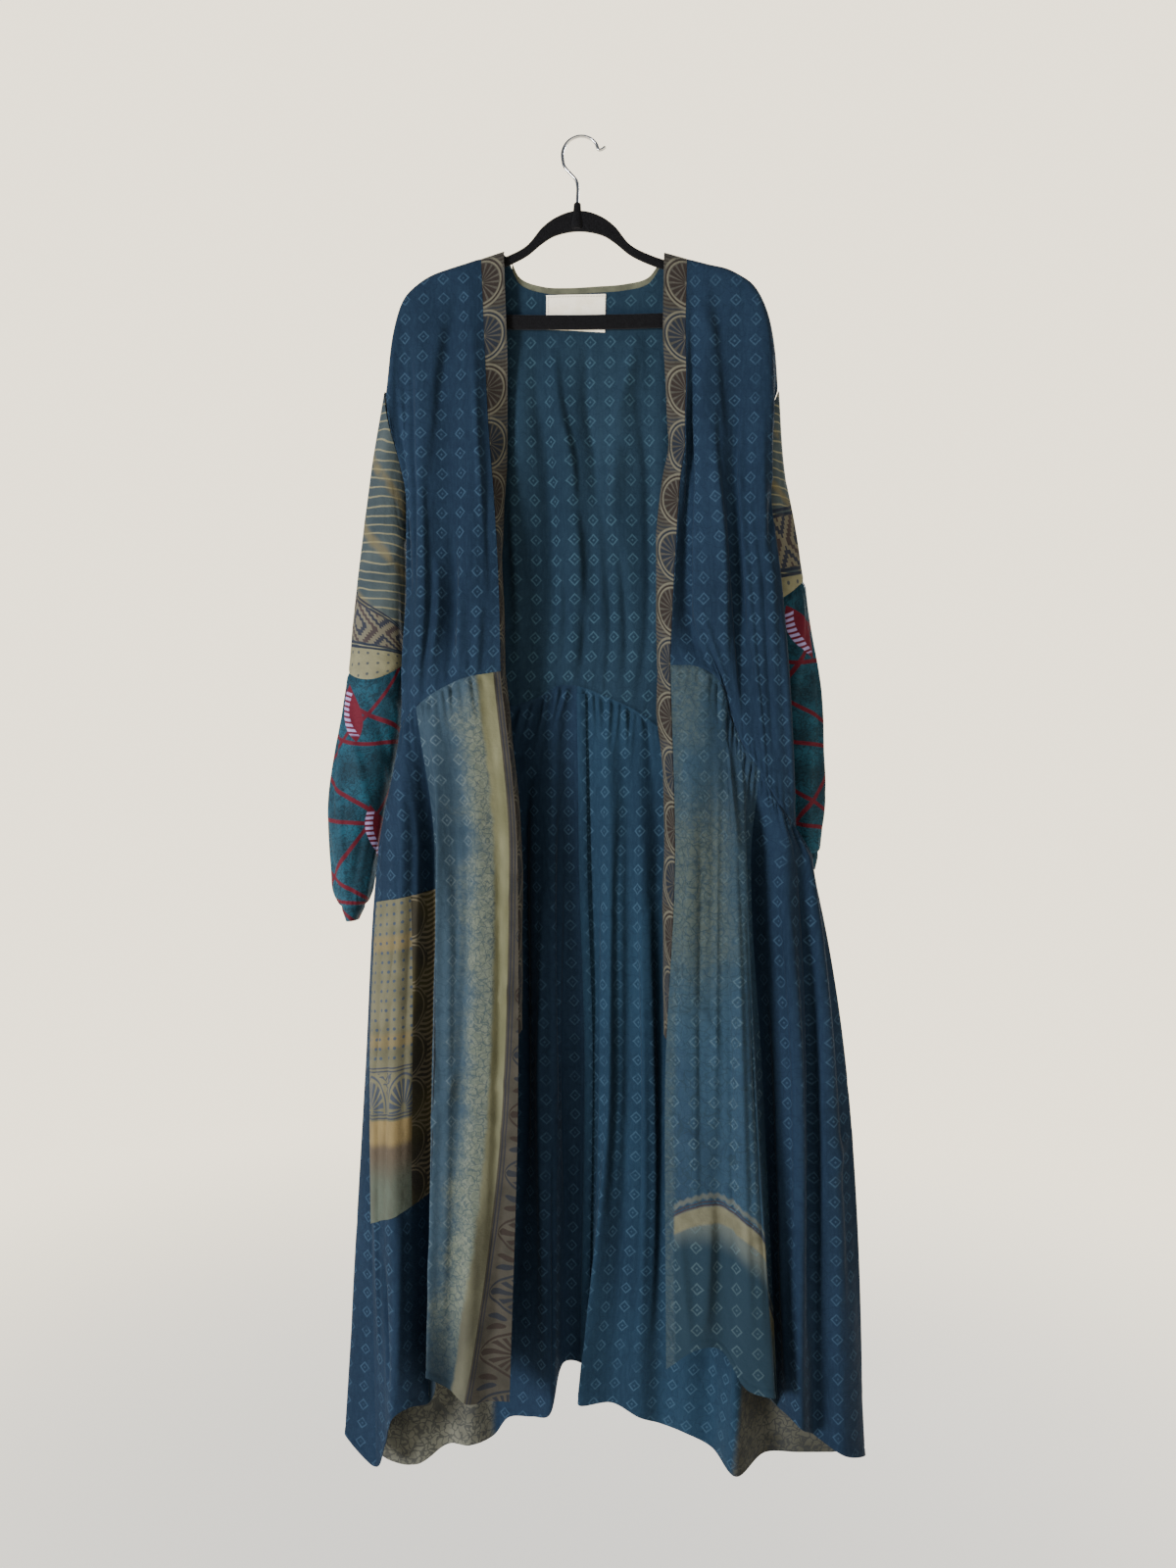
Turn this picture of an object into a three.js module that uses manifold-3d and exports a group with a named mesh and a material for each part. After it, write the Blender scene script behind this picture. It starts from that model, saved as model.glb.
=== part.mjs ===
// Long open-fronted kimono robe on a flat velvet hanger.
// Millimetres. +X is the viewer's right, -Y the front, +Z up.
// The origin is the inner top of the hanger's hook, where the whole piece hangs.
// Names end in _l and _r for the viewer's left and right.

import * as THREE from 'three';
import { mergeVertices } from 'three/addons/utils/BufferGeometryUtils.js';
import Module from 'manifold-3d';

// ---------------------------------------------------------------- sizes
const WALL = 2.0; // cloth thickness, two layers of a sewn cotton as one wall
const TRIM = 1.2; // thickness of the label and the patch
const SEAM = 0.3; // clear distance between two pieces at a seam
const LIFT = 8.75; // table heights are taken from a line this far above the hook's seat

const HOOK = { wire: 3.5, radius: 22, stemX: -3, stemFoot: -90 };
const HANGER = { thick: 5, bevel: 1.2, bossTop: 4.4, bossFoot: 7, bossHeight: 30, tilt: -0.8 };
const BAND = { width: 27, foot: -1072, rise: 0.3, riseFade: 80 };
const NECKBAND = { width: 27, stand: 8 };
const LABEL = { from: 19.7, to: 23.6, top: -191, bottom: -232 };

const HIP = -860; // heights at which the skirt's folds are given
const KNEE = -1130;
const CHEST = -340; // heights at which the bodice's folds are given
const UNDERARM = -442;
const LOW = -560;
const ROLL = 7; // the cloth rolls over the hanger's arms with this radius

// Columns of cloth are numbered by the skirt's folds, from the left front edge round the
// back to the right front edge. These numbers are where the seams run.
const EDGE_L = 0;
const VALLEY_L = 6;
const SIDE_L = 10;
const CENTRE_BACK = 22;
const SIDE_R = 34;
const VALLEY_R = 40;
const EDGE_R = 46;
const STEP = 0.5;

// ---------------------------------------------------------------- tables
// One row per fold: the waist seam point, the plan position at hip and knee, and the hem.
const SKIRT_COLUMNS = ['waistX', 'waistY', 'waistZ', 'hipX', 'hipY', 'kneeX', 'kneeY',
  'hemX', 'hemY', 'hemZ'];
const SKIRT_FOLDS = [
  // front panel, left
  [-90, -28, -642, -68, -34, -65, -46, -72, -60, -1490],
  [-108, -30, -645, -91, -31, -90, -42, -97, -55, -1493],
  [-130, -32, -649, -117, -41, -117, -53, -122, -66, -1492],
  [-150, -31, -657, -140, -34, -142, -46, -143, -57, -1480],
  [-172, -30, -669, -162, -45, -166, -57, -168, -67, -1463],
  [-184, -26, -677, -157, -29, -160, -36, -163, -41, -1480],
  // side panel, left
  [-192, -23, -684, -172, -9, -176, -6, -179, 0, -1528],
  [-199, -19, -690, -191, -24, -195, -27, -198, -30, -1519],
  [-207, -14, -698, -206, -37, -214, -42, -213, -38, -1526],
  [-213, -9, -705, -224, -26, -234, -28, -228, -20, -1572],
  // back, left half
  [-214, -2, -710, -237, -12, -248, -15, -243, -4, -1607],
  [-209, 7, -711, -240, 0, -256, 2, -286, 14, -1578],
  [-201, 15, -708, -226, 13, -240, 20, -262, 30, -1600],
  [-188, 20, -702, -208, 25, -218, 31, -234, 36, -1622],
  [-168, 22, -696, -178, 17, -184, 15, -198, 28, -1620],
  [-142, 24, -691, -148, 30, -156, 34, -163, 40, -1600],
  [-115, 25, -686, -120, 19, -127, 18, -131, 25, -1592],
  [-92, 25, -682, -94, 31, -96, 37, -106, 42, -1588],
  [-72, 25, -678, -72, 36, -69, 41, -86, 38, -1562],
  [-48, 26, -668, -52, 24, -50, 24, -56, 29, -1555],
  [-28, 26, -656, -32, 18, -31, 16, -34, 20, -1548],
  [-16, 27, -655, -18, 35, -18, 39, -18, 41, -1492],
  // back, right half
  [-4, 27, -656, -2, 37, 6, 41, 2, 43, -1492],
  [12, 27, -661, 20, 36, 24, 40, 16, 45, -1506],
  [28, 26, -668, 38, 20, 37, 19, 1, 24, -1535],
  [48, 26, -676, 58, 30, 60, 35, 42, 34, -1536],
  [64, 25, -684, 76, 23, 78, 24, 76, 28, -1550],
  [82, 24, -696, 96, 32, 100, 37, 102, 39, -1562],
  [102, 23, -712, 122, 22, 128, 22, 132, 27, -1566],
  [126, 22, -731, 150, 31, 158, 36, 164, 24, -1580],
  [152, 20, -750, 176, 18, 186, 12, 191, -12, -1594],
  [178, 18, -772, 200, 25, 216, 33, 230, 36, -1590],
  [204, 15, -793, 226, 16, 250, 24, 270, 32, -1586],
  [224, 10, -808, 244, 10, 280, 20, 310, 34, -1585],
  // side panel, right
  [240, 5, -817, 258, 7, 303, 17, 336, 30, -1580],
  [252, -2, -823, 275, 0, 318, 6, 347, 18, -1578],
  [257, -10, -825, 273, -14, 302, -19, 318, -14, -1562],
  [255, -18, -821, 262, -18, 277, -13, 284, -8, -1542],
  [244, -27, -808, 244, -33, 256, -38, 266, -38, -1520],
  [228, -32, -784, 224, -23, 240, -26, 252, -26, -1511],
  // front panel, right
  [213, -34, -757, 205, -9, 221, -8, 241, -4, -1512],
  [202, -33, -742, 193, -29, 206, -37, 227, -43, -1480],
  [191, -28, -724, 197, -47, 211, -58, 232, -67, -1470],
  [180, -21, -694, 182, -51, 192, -62, 201, -68, -1461],
  [167, -28, -654, 165, -41, 168, -51, 171, -60, -1420],
  [140, -31, -637, 142, -47, 142, -59, 146, -67, -1417],
  [109, -28, -635, 116, -36, 106, -46, 109, -60, -1445],
];

// One row per fold of the bodice: the column it runs down to, its start on the shoulder or
// neck line, and its plan position at chest, underarm and low bodice.
const BODICE_COLUMNS = ['column', 'topX', 'topZ', 'chestX', 'chestY', 'underX', 'underY',
  'lowX', 'lowY'];
const FRONT_L_FOLDS = [
  [0, -118, -150, -108, -17, -99, -22, -92, -27],
  [1, -124, -151, -116, -21, -110, -27, -107, -31],
  [2, -134, -154, -126, -23, -126, -29, -130, -32],
  [3.6, -158, -161, -156, -13, -153, -19, -154, -21],
  [5.2, -176, -167, -178, -17, -176, -23, -176, -26],
  [6.4, -192, -176, -194, -20, -190, -27, -188, -29],
  [8, -211, -194, -209, -9, -202, -16, -200, -19],
  [9, -224, -232, -223, -13, -206, -12, -206, -12],
  [10, -233, -305, -227, -16, -204, 0, -201, 0],
];
const BACK_FOLDS = [
  [10, -233, -305, -227, 14, -204, 0, -201, 0],
  [11, -224, -232, -222, 15, -203, 9, -203, 9],
  [12, -211, -194, -207, 15, -196, 17, -196, 16],
  [13.5, -186, -173, -182, 10, -178, 14, -178, 18],
  [15, -150, -159, -150, 16, -147, 22, -147, 23],
  [16, -118, -150, -121, 10, -118, 14, -118, 18],
  [17, -93, -142, -94, 13, -92, 18, -92, 21],
  [18, -73, -177, -72, 8, -72, 13, -72, 19],
  [19.5, -45, -188, -44, 14, -40, 21, -38, 25],
  [21, -18, -190, -20, 9, -14, 14, -12, 20],
  [23, 20, -189, 18, 14, 20, 21, 22, 25],
  [25, 52, -187, 48, 9, 46, 15, 48, 20],
  [26.4, 80, -180, 78, 13, 76, 19, 78, 22],
  [27.4, 104, -150, 100, 11, 98, 16, 98, 19],
  [28.6, 127, -156, 124, 15, 122, 20, 122, 22],
  [30, 164, -164, 158, 10, 154, 13, 156, 15],
  [31.6, 198, -181, 188, 14, 182, 17, 186, 17],
  [33, 219, -214, 214, 14, 198, 11, 203, 10],
  [34, 233, -312, 222, 13, 203, 2, 208, 2],
];
const FRONT_R_FOLDS = [
  [34, 233, -312, 222, -8, 203, 2, 208, 2],
  [35, 229, -262, 228, -12, 217, -8, 228, -9],
  [36.4, 222, -225, 224, -19, 227, -21, 239, -24],
  [38, 212, -200, 213, -19, 214, -29, 222, -35],
  [39.4, 202, -186, 200, -14, 197, -21, 204, -27],
  [40.8, 188, -176, 184, -8, 182, -14, 188, -17],
  [42.4, 172, -168, 166, -15, 166, -26, 172, -32],
  [43.6, 152, -163, 145, -18, 142, -27, 145, -32],
  [45.2, 134, -158, 129, -9, 126, -12, 126, -14],
  [46, 126, -156, 123, -15, 118, -22, 112, -26],
];

// How far each front band is turned back out of the front's plane, by height.
const BAND_TURN_L = [
  { z: -158, degrees: 0 }, { z: -240, degrees: 6 }, { z: -290, degrees: 24 },
  { z: -354, degrees: 42 }, { z: -403, degrees: 58 }, { z: -440, degrees: 74 },
  { z: -500, degrees: 86 }, { z: -1080, degrees: 88 },
];
const BAND_TURN_R = [
  { z: -160, degrees: 0 }, { z: -245, degrees: 7 }, { z: -370, degrees: 44 },
  { z: -480, degrees: 26 }, { z: -570, degrees: 44 }, { z: -640, degrees: 56 },
  { z: -690, degrees: 50 }, { z: -760, degrees: 62 }, { z: -920, degrees: 62 },
  { z: -1080, degrees: 84 },
];

// One row per section of a sleeve below its armhole: the outer and inner points, the front
// and back reach, and how far the section sags between them.
const SLEEVE_COLUMNS = ['outerX', 'outerZ', 'innerX', 'innerZ', 'frontY', 'backY', 'sag'];
const SLEEVE_L = {
  upper: [
    [-251, -392, -210, -470, -17, 26, 4],
    [-265, -492, -210, -530, -19, 33, 6],
    [-275, -580, -212, -590, -19, 37, 8],
    [-281, -641, -211, -632, -19, 39, 14],
  ],
  lower: [
    [-294, -712, -217, -706, -20, 42, 8],
    [-306, -800, -235, -796, -21, 43, 0],
    [-303, -872, -246, -868, -18, 42, 0],
    [-300, -905, -252, -902, -12, 39, 0],
    [-291, -926, -262, -924, -6, 35, 0],
  ],
  cuff: [
    [-284, -943, -271, -942, -3, 32, 0],
  ],
};
const SLEEVE_R = {
  upper: [
    [242, -396, 212, -472, -4, 34, 4],
    [258, -488, 217, -530, 0, 40, 4],
    [267, -532, 220, -560, 1, 42, 6],
  ],
  lower: [
    [276, -588, 225, -596, 2, 43, 8],
    [289, -660, 234, -660, 6, 44, 4],
    [293, -735, 242, -735, 9, 45, 0],
    [293, -795, 250, -795, 12, 45, 0],
    [290, -835, 257, -835, 17, 45, 0],
    [288, -856, 263, -856, 20, 44, 0],
  ],
  cuff: [
    [284, -876, 270, -876, 22, 42, 0],
  ],
};

// The patch on the left side panel: its first and last columns with top and bottom heights.
const PATCH = { from: 5.5, to: 10, topFrom: -900, topTo: -918, footFrom: -1264, footTo: -1306 };

// ---------------------------------------------------------------- curves
function named(columns, rows) {
  return rows.map((row) => Object.fromEntries(row.map((value, i) => [columns[i], value])));
}

const skirtFolds = named(SKIRT_COLUMNS, SKIRT_FOLDS);

// Centripetal Catmull-Rom curve through a list of points, at a place counted in points.
function curveAt(points, place) {
  const last = points.length - 1;
  const i = Math.max(0, Math.min(last - 1, Math.floor(place)));
  const p1 = points[i];
  const p2 = points[i + 1];
  const p0 = i > 0 ? points[i - 1] : p1.clone().multiplyScalar(2).sub(p2);
  const p3 = i + 2 <= last ? points[i + 2] : p2.clone().multiplyScalar(2).sub(p1);
  const k1 = Math.sqrt(p0.distanceTo(p1)) || 1;
  const k2 = k1 + (Math.sqrt(p1.distanceTo(p2)) || 1);
  const k3 = k2 + (Math.sqrt(p2.distanceTo(p3)) || 1);
  const k = k1 + (k2 - k1) * (place - i);
  const mix = (a, b, ka, kb) => a.clone().lerp(b, (k - ka) / (kb - ka));
  const a1 = mix(p0, p1, 0, k1);
  const a2 = mix(p1, p2, k1, k2);
  const a3 = mix(p2, p3, k2, k3);
  return mix(mix(a1, a2, 0, k2), mix(a2, a3, k1, k3), k1, k2);
}

// Smooth value through knots [z, value] that run downwards, without overshoot.
function knotsAt(knots, z) {
  let i = 0;
  while (i < knots.length - 2 && z < knots[i + 1][0]) {
    i += 1;
  }
  const slope = (j) => (knots[j + 1][1] - knots[j][1]) / (knots[j + 1][0] - knots[j][0]);
  const tangent = (j) => {
    if (j === 0) {
      return slope(0);
    }
    if (j === knots.length - 1) {
      return slope(j - 1);
    }
    const product = slope(j - 1) * slope(j);
    return product > 0 ? (2 * product) / (slope(j - 1) + slope(j)) : 0;
  };
  const span = knots[i + 1][0] - knots[i][0];
  const u = (z - knots[i][0]) / span;
  const h = u * u * (3 - 2 * u);
  return knots[i][1] * (1 - h) + knots[i + 1][1] * h
    + tangent(i) * span * u * (1 - u) * (1 - u)
    - tangent(i + 1) * span * u * u * (1 - u);
}

const level = (x, y, z) => skirtFolds.map((f) => new THREE.Vector3(f[x], f[y], z ? f[z] : 0));
const WAIST_LINE = level('waistX', 'waistY', 'waistZ');
const HIP_LINE = level('hipX', 'hipY');
const KNEE_LINE = level('kneeX', 'kneeY');
const HEM_LINE = level('hemX', 'hemY', 'hemZ');

const waistAt = (column) => curveAt(WAIST_LINE, column);

// A point of the skirt: column round the robe, drop 0 at the waist seam and 1 at the hem.
function skirtAt(column, drop) {
  const waist = waistAt(column);
  const hip = curveAt(HIP_LINE, column);
  const knee = curveAt(KNEE_LINE, column);
  const hem = curveAt(HEM_LINE, column);
  const z = waist.z + (hem.z - waist.z) * drop;
  const through = (key) => knotsAt(
    [[waist.z, waist[key]], [HIP, hip[key]], [KNEE, knee[key]], [hem.z, hem[key]]], z);
  return new THREE.Vector3(through('x'), through('y'), z);
}

// The drop at which a column of the skirt passes a given height.
function skirtDrop(column, z) {
  const waist = waistAt(column);
  const hem = curveAt(HEM_LINE, column);
  return (z - waist.z) / (hem.z - waist.z);
}

// A bodice panel as a function of column and drop (0 at the shoulder, 1 at the waist seam).
function bodicePanel(rows, shoulder) {
  const folds = named(BODICE_COLUMNS, rows);
  const points = (x, y) => folds.map((f) => new THREE.Vector3(f[x], f[y], 0));
  const top = points('topX', 'topZ');
  const chest = points('chestX', 'chestY');
  const under = points('underX', 'underY');
  const low = points('lowX', 'lowY');
  const toPlace = (column) => {
    let i = 0;
    while (i < folds.length - 2 && column > folds[i + 1].column) {
      i += 1;
    }
    return i + (column - folds[i].column) / (folds[i + 1].column - folds[i].column);
  };
  return (column, drop) => {
    const place = toPlace(column);
    const start = curveAt(top, place);
    const waist = waistAt(column);
    const c = curveAt(chest, place);
    const u = curveAt(under, place);
    const l = curveAt(low, place);
    const z = start.y + (waist.z - start.y) * drop;
    const along = (key, first) => knotsAt(
      [[start.y, first], [CHEST, c[key]], [UNDERARM, u[key]], [LOW, l[key]],
        [waist.z, waist[key]]], z);
    const x = along('x', start.x);
    const y = along('y', Math.sign(c.y) * (ROLL + 1));
    return new THREE.Vector3(x, y * rolled(shoulder, x, z), z);
  };
}

// 0 on the shoulder line, rising to 1 where the cloth hangs clear of the hanger's arm.
function rolled(shoulder, x, z) {
  let nearest = Infinity;
  for (let i = 0; i + 1 < shoulder.length; i += 1) {
    const [ax, az] = shoulder[i];
    const [bx, bz] = shoulder[i + 1];
    const along = ((x - ax) * (bx - ax) + (z - az) * (bz - az))
      / ((bx - ax) ** 2 + (bz - az) ** 2);
    const u = Math.max(0, Math.min(1, along));
    nearest = Math.min(nearest, Math.hypot(x - ax - (bx - ax) * u, z - az - (bz - az) * u));
  }
  const t = Math.min(1, nearest / ROLL);
  return Math.sqrt(1 - (1 - t) * (1 - t));
}

// The shoulder lines are the tops of the front panels, run on to the neck points.
function shoulderLine(rows, neck) {
  const folds = named(BODICE_COLUMNS, rows);
  const top = folds.map((f) => new THREE.Vector3(f.topX, f.topZ, 0));
  const line = [];
  for (let place = 0; place <= top.length - 1; place += 0.125) {
    const p = curveAt(top, place);
    line.push([p.x, p.y]);
  }
  return neck.x < 0 ? [[neck.x, neck.z], ...line] : [...line, [neck.x, neck.z]];
}

const SHOULDER_L = shoulderLine(FRONT_L_FOLDS, { x: -93, z: -142 });
const SHOULDER_R = shoulderLine(FRONT_R_FOLDS, { x: 104, z: -150 });
const frontL = bodicePanel(FRONT_L_FOLDS, SHOULDER_L);
const frontR = bodicePanel(FRONT_R_FOLDS, SHOULDER_R);
const backHalfL = bodicePanel(BACK_FOLDS, SHOULDER_L);
const backHalfR = bodicePanel(BACK_FOLDS, SHOULDER_R);
const back = (column, drop) => (
  column < CENTRE_BACK ? backHalfL(column, drop) : backHalfR(column, drop));

// ---------------------------------------------------------------- sheets of cloth
// The outward direction of a surface given by (column, drop).
function outward(surface, column, drop, range) {
  const dc = 0.02;
  const dd = 0.003;
  const c0 = Math.max(range.from, column - dc);
  const c1 = Math.min(range.to, column + dc);
  const d0 = Math.max(0, drop - dd);
  const d1 = Math.min(1, drop + dd);
  const across = surface(c1, drop).sub(surface(c0, drop));
  const down = surface(column, d1).sub(surface(column, d0));
  return across.cross(down).normalize();
}

// Level outward direction of the waist seam, shared by the pieces above and below it.
function waistOutward(column) {
  const c0 = Math.max(EDGE_L, column - 0.02);
  const c1 = Math.min(EDGE_R, column + 0.02);
  const across = waistAt(c1).sub(waistAt(c0));
  return new THREE.Vector3(across.x, across.y, 0).cross(new THREE.Vector3(0, 0, -1)).normalize();
}

// A closed wall on a grid of { point, normal }, grid[i][j] with i across and j down.
function wall(grid, thickness, ring = false) {
  const across = grid.length;
  const down = grid[0].length;
  const positions = [];
  for (const side of [0.5, -0.5]) {
    for (const column of grid) {
      for (const { point, normal } of column) {
        const p = point.clone().addScaledVector(normal, thickness * side);
        positions.push(p.x, p.y, p.z + LIFT);
      }
    }
  }
  const outer = (i, j) => (i % across) * down + j;
  const inner = (i, j) => across * down + (i % across) * down + j;
  const faces = [];
  const quad = (a, b, c, d) => faces.push(a, b, c, a, c, d);
  const spans = ring ? across : across - 1;
  for (let i = 0; i < spans; i += 1) {
    for (let j = 0; j + 1 < down; j += 1) {
      quad(outer(i, j), outer(i + 1, j), outer(i + 1, j + 1), outer(i, j + 1));
      quad(inner(i, j), inner(i, j + 1), inner(i + 1, j + 1), inner(i + 1, j));
    }
    quad(outer(i, 0), inner(i, 0), inner(i + 1, 0), outer(i + 1, 0));
    quad(outer(i + 1, down - 1), inner(i + 1, down - 1), inner(i, down - 1), outer(i, down - 1));
  }
  for (let j = 0; !ring && j + 1 < down; j += 1) {
    quad(outer(0, j), outer(0, j + 1), inner(0, j + 1), inner(0, j));
    const e = across - 1;
    quad(outer(e, j), inner(e, j), inner(e, j + 1), outer(e, j + 1));
  }
  const geometry = new THREE.BufferGeometry();
  geometry.setAttribute('position', new THREE.Float32BufferAttribute(positions, 3));
  geometry.setIndex(faces);
  geometry.computeVertexNormals();
  return geometry;
}

// Draws the edges of a grid in by half a seam, so that neighbours stay clear of each other.
function trimmed(grid, sides) {
  const pull = (edge, next, along) => {
    const way = next.point.clone().sub(edge.point).normalize();
    const slant = along ? Math.max(0.2, way.clone().cross(along).length()) : 1;
    edge.point.addScaledVector(way, (along ? 1 : 0.5) * SEAM / slant);
  };
  const across = grid.length;
  const down = grid[0].length;
  for (let j = 0; j < down; j += 1) {
    if (sides.includes('first')) {
      pull(grid[0][j], grid[1][j]);
    }
    if (sides.includes('last')) {
      pull(grid[across - 1][j], grid[across - 2][j]);
    }
  }
  const edgeWay = (j) => grid.map((_, i) => {
    const before = grid[Math.max(0, i - 1)][j].point;
    const after = grid[Math.min(across - 1, i + 1)][j].point;
    return after.clone().sub(before).normalize();
  });
  const topWay = edgeWay(0);
  const footWay = edgeWay(down - 1);
  for (let i = 0; i < across; i += 1) {
    if (sides.includes('top')) {
      pull(grid[i][0], grid[i][1], topWay[i]);
    }
    if (sides.includes('foot')) {
      pull(grid[i][down - 1], grid[i][down - 2], footWay[i]);
    }
  }
  return grid;
}

function steps(from, to, step) {
  const count = Math.round((to - from) / step);
  return Array.from({ length: count + 1 }, (_, i) => from + ((to - from) * i) / count);
}

const SKIRT_DROPS = steps(0, 1, 1 / 11);
const BODICE_DROPS = [0, 0.004, 0.014, 0.035, 0.09, 0.18, 0.29, 0.4, 0.52, 0.64, 0.76, 0.88, 1];

function skirtPanel(from, to, sides) {
  const range = { from: EDGE_L, to: EDGE_R };
  const grid = steps(from, to, STEP).map((column) => SKIRT_DROPS.map((drop) => ({
    point: skirtAt(column, drop),
    normal: drop === 0 ? waistOutward(column) : outward(skirtAt, column, drop, range),
  })));
  return wall(trimmed(grid, [...sides, 'top']), WALL);
}

// Outward direction on the shoulder line, shared by front and back.
function shoulderOutward(surface, column, range) {
  const c0 = Math.max(range.from, column - 0.05);
  const c1 = Math.min(range.to, column + 0.05);
  const across = surface(c1, 0).sub(surface(c0, 0));
  const normal = new THREE.Vector3(-across.z, 0, across.x).normalize();
  return normal.z < 0 ? normal.negate() : normal;
}

// Outward direction down a side seam: its own at the armhole, level and shared below it.
function sideOutward(surface, column, drop, range) {
  const own = outward(surface, column, drop, range);
  const shared = column < CENTRE_BACK
    ? new THREE.Vector3(-1, 0, 0) : new THREE.Vector3(0.7, 0.7, 0);
  const z = surface(column, drop).z;
  const open = Math.max(0, Math.min(1, (z - UNDERARM) / 40));
  return shared.lerp(own, open).normalize();
}

function bodice(surface, range, onShoulder, sides) {
  const grid = steps(range.from, range.to, STEP).map((column) => BODICE_DROPS.map((drop) => {
    let normal = outward(surface, column, drop, range);
    if (drop === 0 && onShoulder(column)) {
      normal = shoulderOutward(surface, column, range);
    } else if (drop === 1) {
      normal = waistOutward(column);
    } else if (column === SIDE_L || column === SIDE_R) {
      normal = sideOutward(surface, column, drop, range);
    }
    return { point: surface(column, drop), normal };
  }));
  return wall(trimmed(grid, sides), WALL);
}

// ---------------------------------------------------------------- bands, label and patch
function turnAt(table, z) {
  let i = 0;
  while (i < table.length - 2 && z < table[i + 1].z) {
    i += 1;
  }
  const u = Math.max(0, Math.min(1, (z - table[i].z) / (table[i + 1].z - table[i].z)));
  return THREE.MathUtils.degToRad(table[i].degrees + (table[i + 1].degrees - table[i].degrees) * u);
}

// Gives a grid of points its normals from its neighbours, with one for the whole top edge.
function withNormals(grid, topNormal) {
  const at = (i, j) => grid[Math.max(0, Math.min(grid.length - 1, i))][
    Math.max(0, Math.min(grid[0].length - 1, j))].point;
  return grid.map((column, i) => column.map(({ point }, j) => {
    const across = at(i + 1, j).clone().sub(at(i - 1, j));
    const down = at(i, j + 1).clone().sub(at(i, j - 1));
    return { point, normal: j === 0 ? topNormal : across.cross(down).normalize() };
  }));
}

// A front band: sewn to the panels' front edge and turned back by its table.
function frontBand(edgeBodice, edgeSkirt, column, turns, inwardSign) {
  const footDrop = skirtDrop(column, BAND.foot);
  const seam = [
    ...BODICE_DROPS.map((drop) => edgeBodice(column, drop)),
    ...steps(0, footDrop, footDrop / 7).slice(1).map((drop) => edgeSkirt(column, drop)),
  ];
  const across = [0, 0.5, 1];
  const grid = across.map((share) => seam.map((edge) => {
    const turn = turnAt(turns, edge.z);
    const way = new THREE.Vector3(inwardSign * Math.cos(turn), Math.sin(turn), 0);
    const start = SEAM + 0.4 + 1.5 * Math.sin(turn);
    const reach = start + (BAND.width - start) * share;
    const point = edge.clone().addScaledVector(way, reach);
    point.z += reach * BAND.rise * Math.max(0, 1 - (seam[0].z - edge.z) / BAND.riseFade);
    return { point };
  }));
  const ordered = inwardSign > 0 ? [...grid].reverse() : grid;
  return wall(trimmed(withNormals(ordered, new THREE.Vector3(0, 0, 1)), ['top']), WALL);
}

// The band round the back of the neck stands above the back panel's edge, outside it.
function neckBand() {
  const columns = steps(17.5, 27, STEP);
  const range = { from: SIDE_L, to: SIDE_R };
  const widths = [-NECKBAND.stand, 0, 6, 12, NECKBAND.width - NECKBAND.stand];
  const grid = columns.map((column) => widths.map((width) => {
    const edge = back(column, 0);
    const waist = waistAt(column);
    const drop = Math.max(0, width) / (edge.z - waist.z);
    const point = back(column, drop);
    point.z += Math.max(0, -width);
    const normal = outward(back, column, Math.max(drop, 0.02), range);
    point.addScaledVector(normal, WALL + SEAM);
    return { point, normal };
  }));
  return wall(grid, WALL);
}

// The label lies on the inside of the back panel just under the neck edge.
function label() {
  const range = { from: SIDE_L, to: SIDE_R };
  const grid = steps(LABEL.from, LABEL.to, 0.65).map((column) => steps(0, 1, 0.25).map((share) => {
    const edge = back(column, 0);
    const waist = waistAt(column);
    const z = LABEL.top + (LABEL.bottom - LABEL.top) * share;
    const drop = Math.max(0.004, (edge.z - z) / (edge.z - waist.z));
    const normal = outward(back, column, drop, range);
    const point = back(column, drop).addScaledVector(normal, -(WALL / 2 + SEAM + TRIM / 2));
    return { point, normal };
  }));
  return wall(grid, TRIM);
}

// The patch lies on the outside of the left side panel, caught in its side seam.
function patch() {
  const range = { from: EDGE_L, to: EDGE_R };
  const grid = steps(PATCH.from, PATCH.to, 0.5).map((column) => {
    const share = (column - PATCH.from) / (PATCH.to - PATCH.from);
    const top = PATCH.topFrom + (PATCH.topTo - PATCH.topFrom) * share;
    const foot = PATCH.footFrom + (PATCH.footTo - PATCH.footFrom) * share;
    return steps(0, 1, 1 / 6).map((down) => {
      const drop = skirtDrop(column, top + (foot - top) * down);
      const normal = outward(skirtAt, column, drop, range);
      const point = skirtAt(column, drop).addScaledVector(normal, WALL / 2 + 2 * SEAM + TRIM / 2);
      return { point, normal };
    });
  });
  return wall(grid, TRIM);
}

// ---------------------------------------------------------------- sleeves
const AROUND = 20;

// The armhole as a loop: from its top down the front edge, under the arm and up the back.
function armhole(front, column, angle) {
  const z = (surface) => {
    const top = surface(column, 0).z;
    return (top + UNDERARM) / 2 + ((top - UNDERARM) / 2) * Math.cos(angle);
  };
  const surface = Math.sin(angle) >= 0 ? front : back;
  const top = surface(column, 0).z;
  const waist = waistAt(column).z;
  return surface(column, (top - z(surface)) / (top - waist));
}

// How far a sleeve's first loop stands off the armhole: outwards, more under the arm, and
// behind the front panel where that folds over it.
const START_L = { side: -1, out: 1.5, under: 2.6, behind: 0 };
const START_R = { side: 1, out: 1.2, under: 4.5, behind: 3.2 };

// The loop a sleeve starts from: the armhole, moved out along the sleeve by the seam and,
// under the arm, by the body's own wall.
function sleeveStart(front, column, angle) {
  const { side, out, under, behind } = column < CENTRE_BACK ? START_L : START_R;
  const point = armhole(front, column, angle);
  const low = (1 - Math.cos(angle)) / 2;
  point.x += side * (out + under * low ** 3);
  point.y += behind * Math.max(0, Math.sin(angle));
  point.z -= SEAM;
  return point;
}

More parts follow.
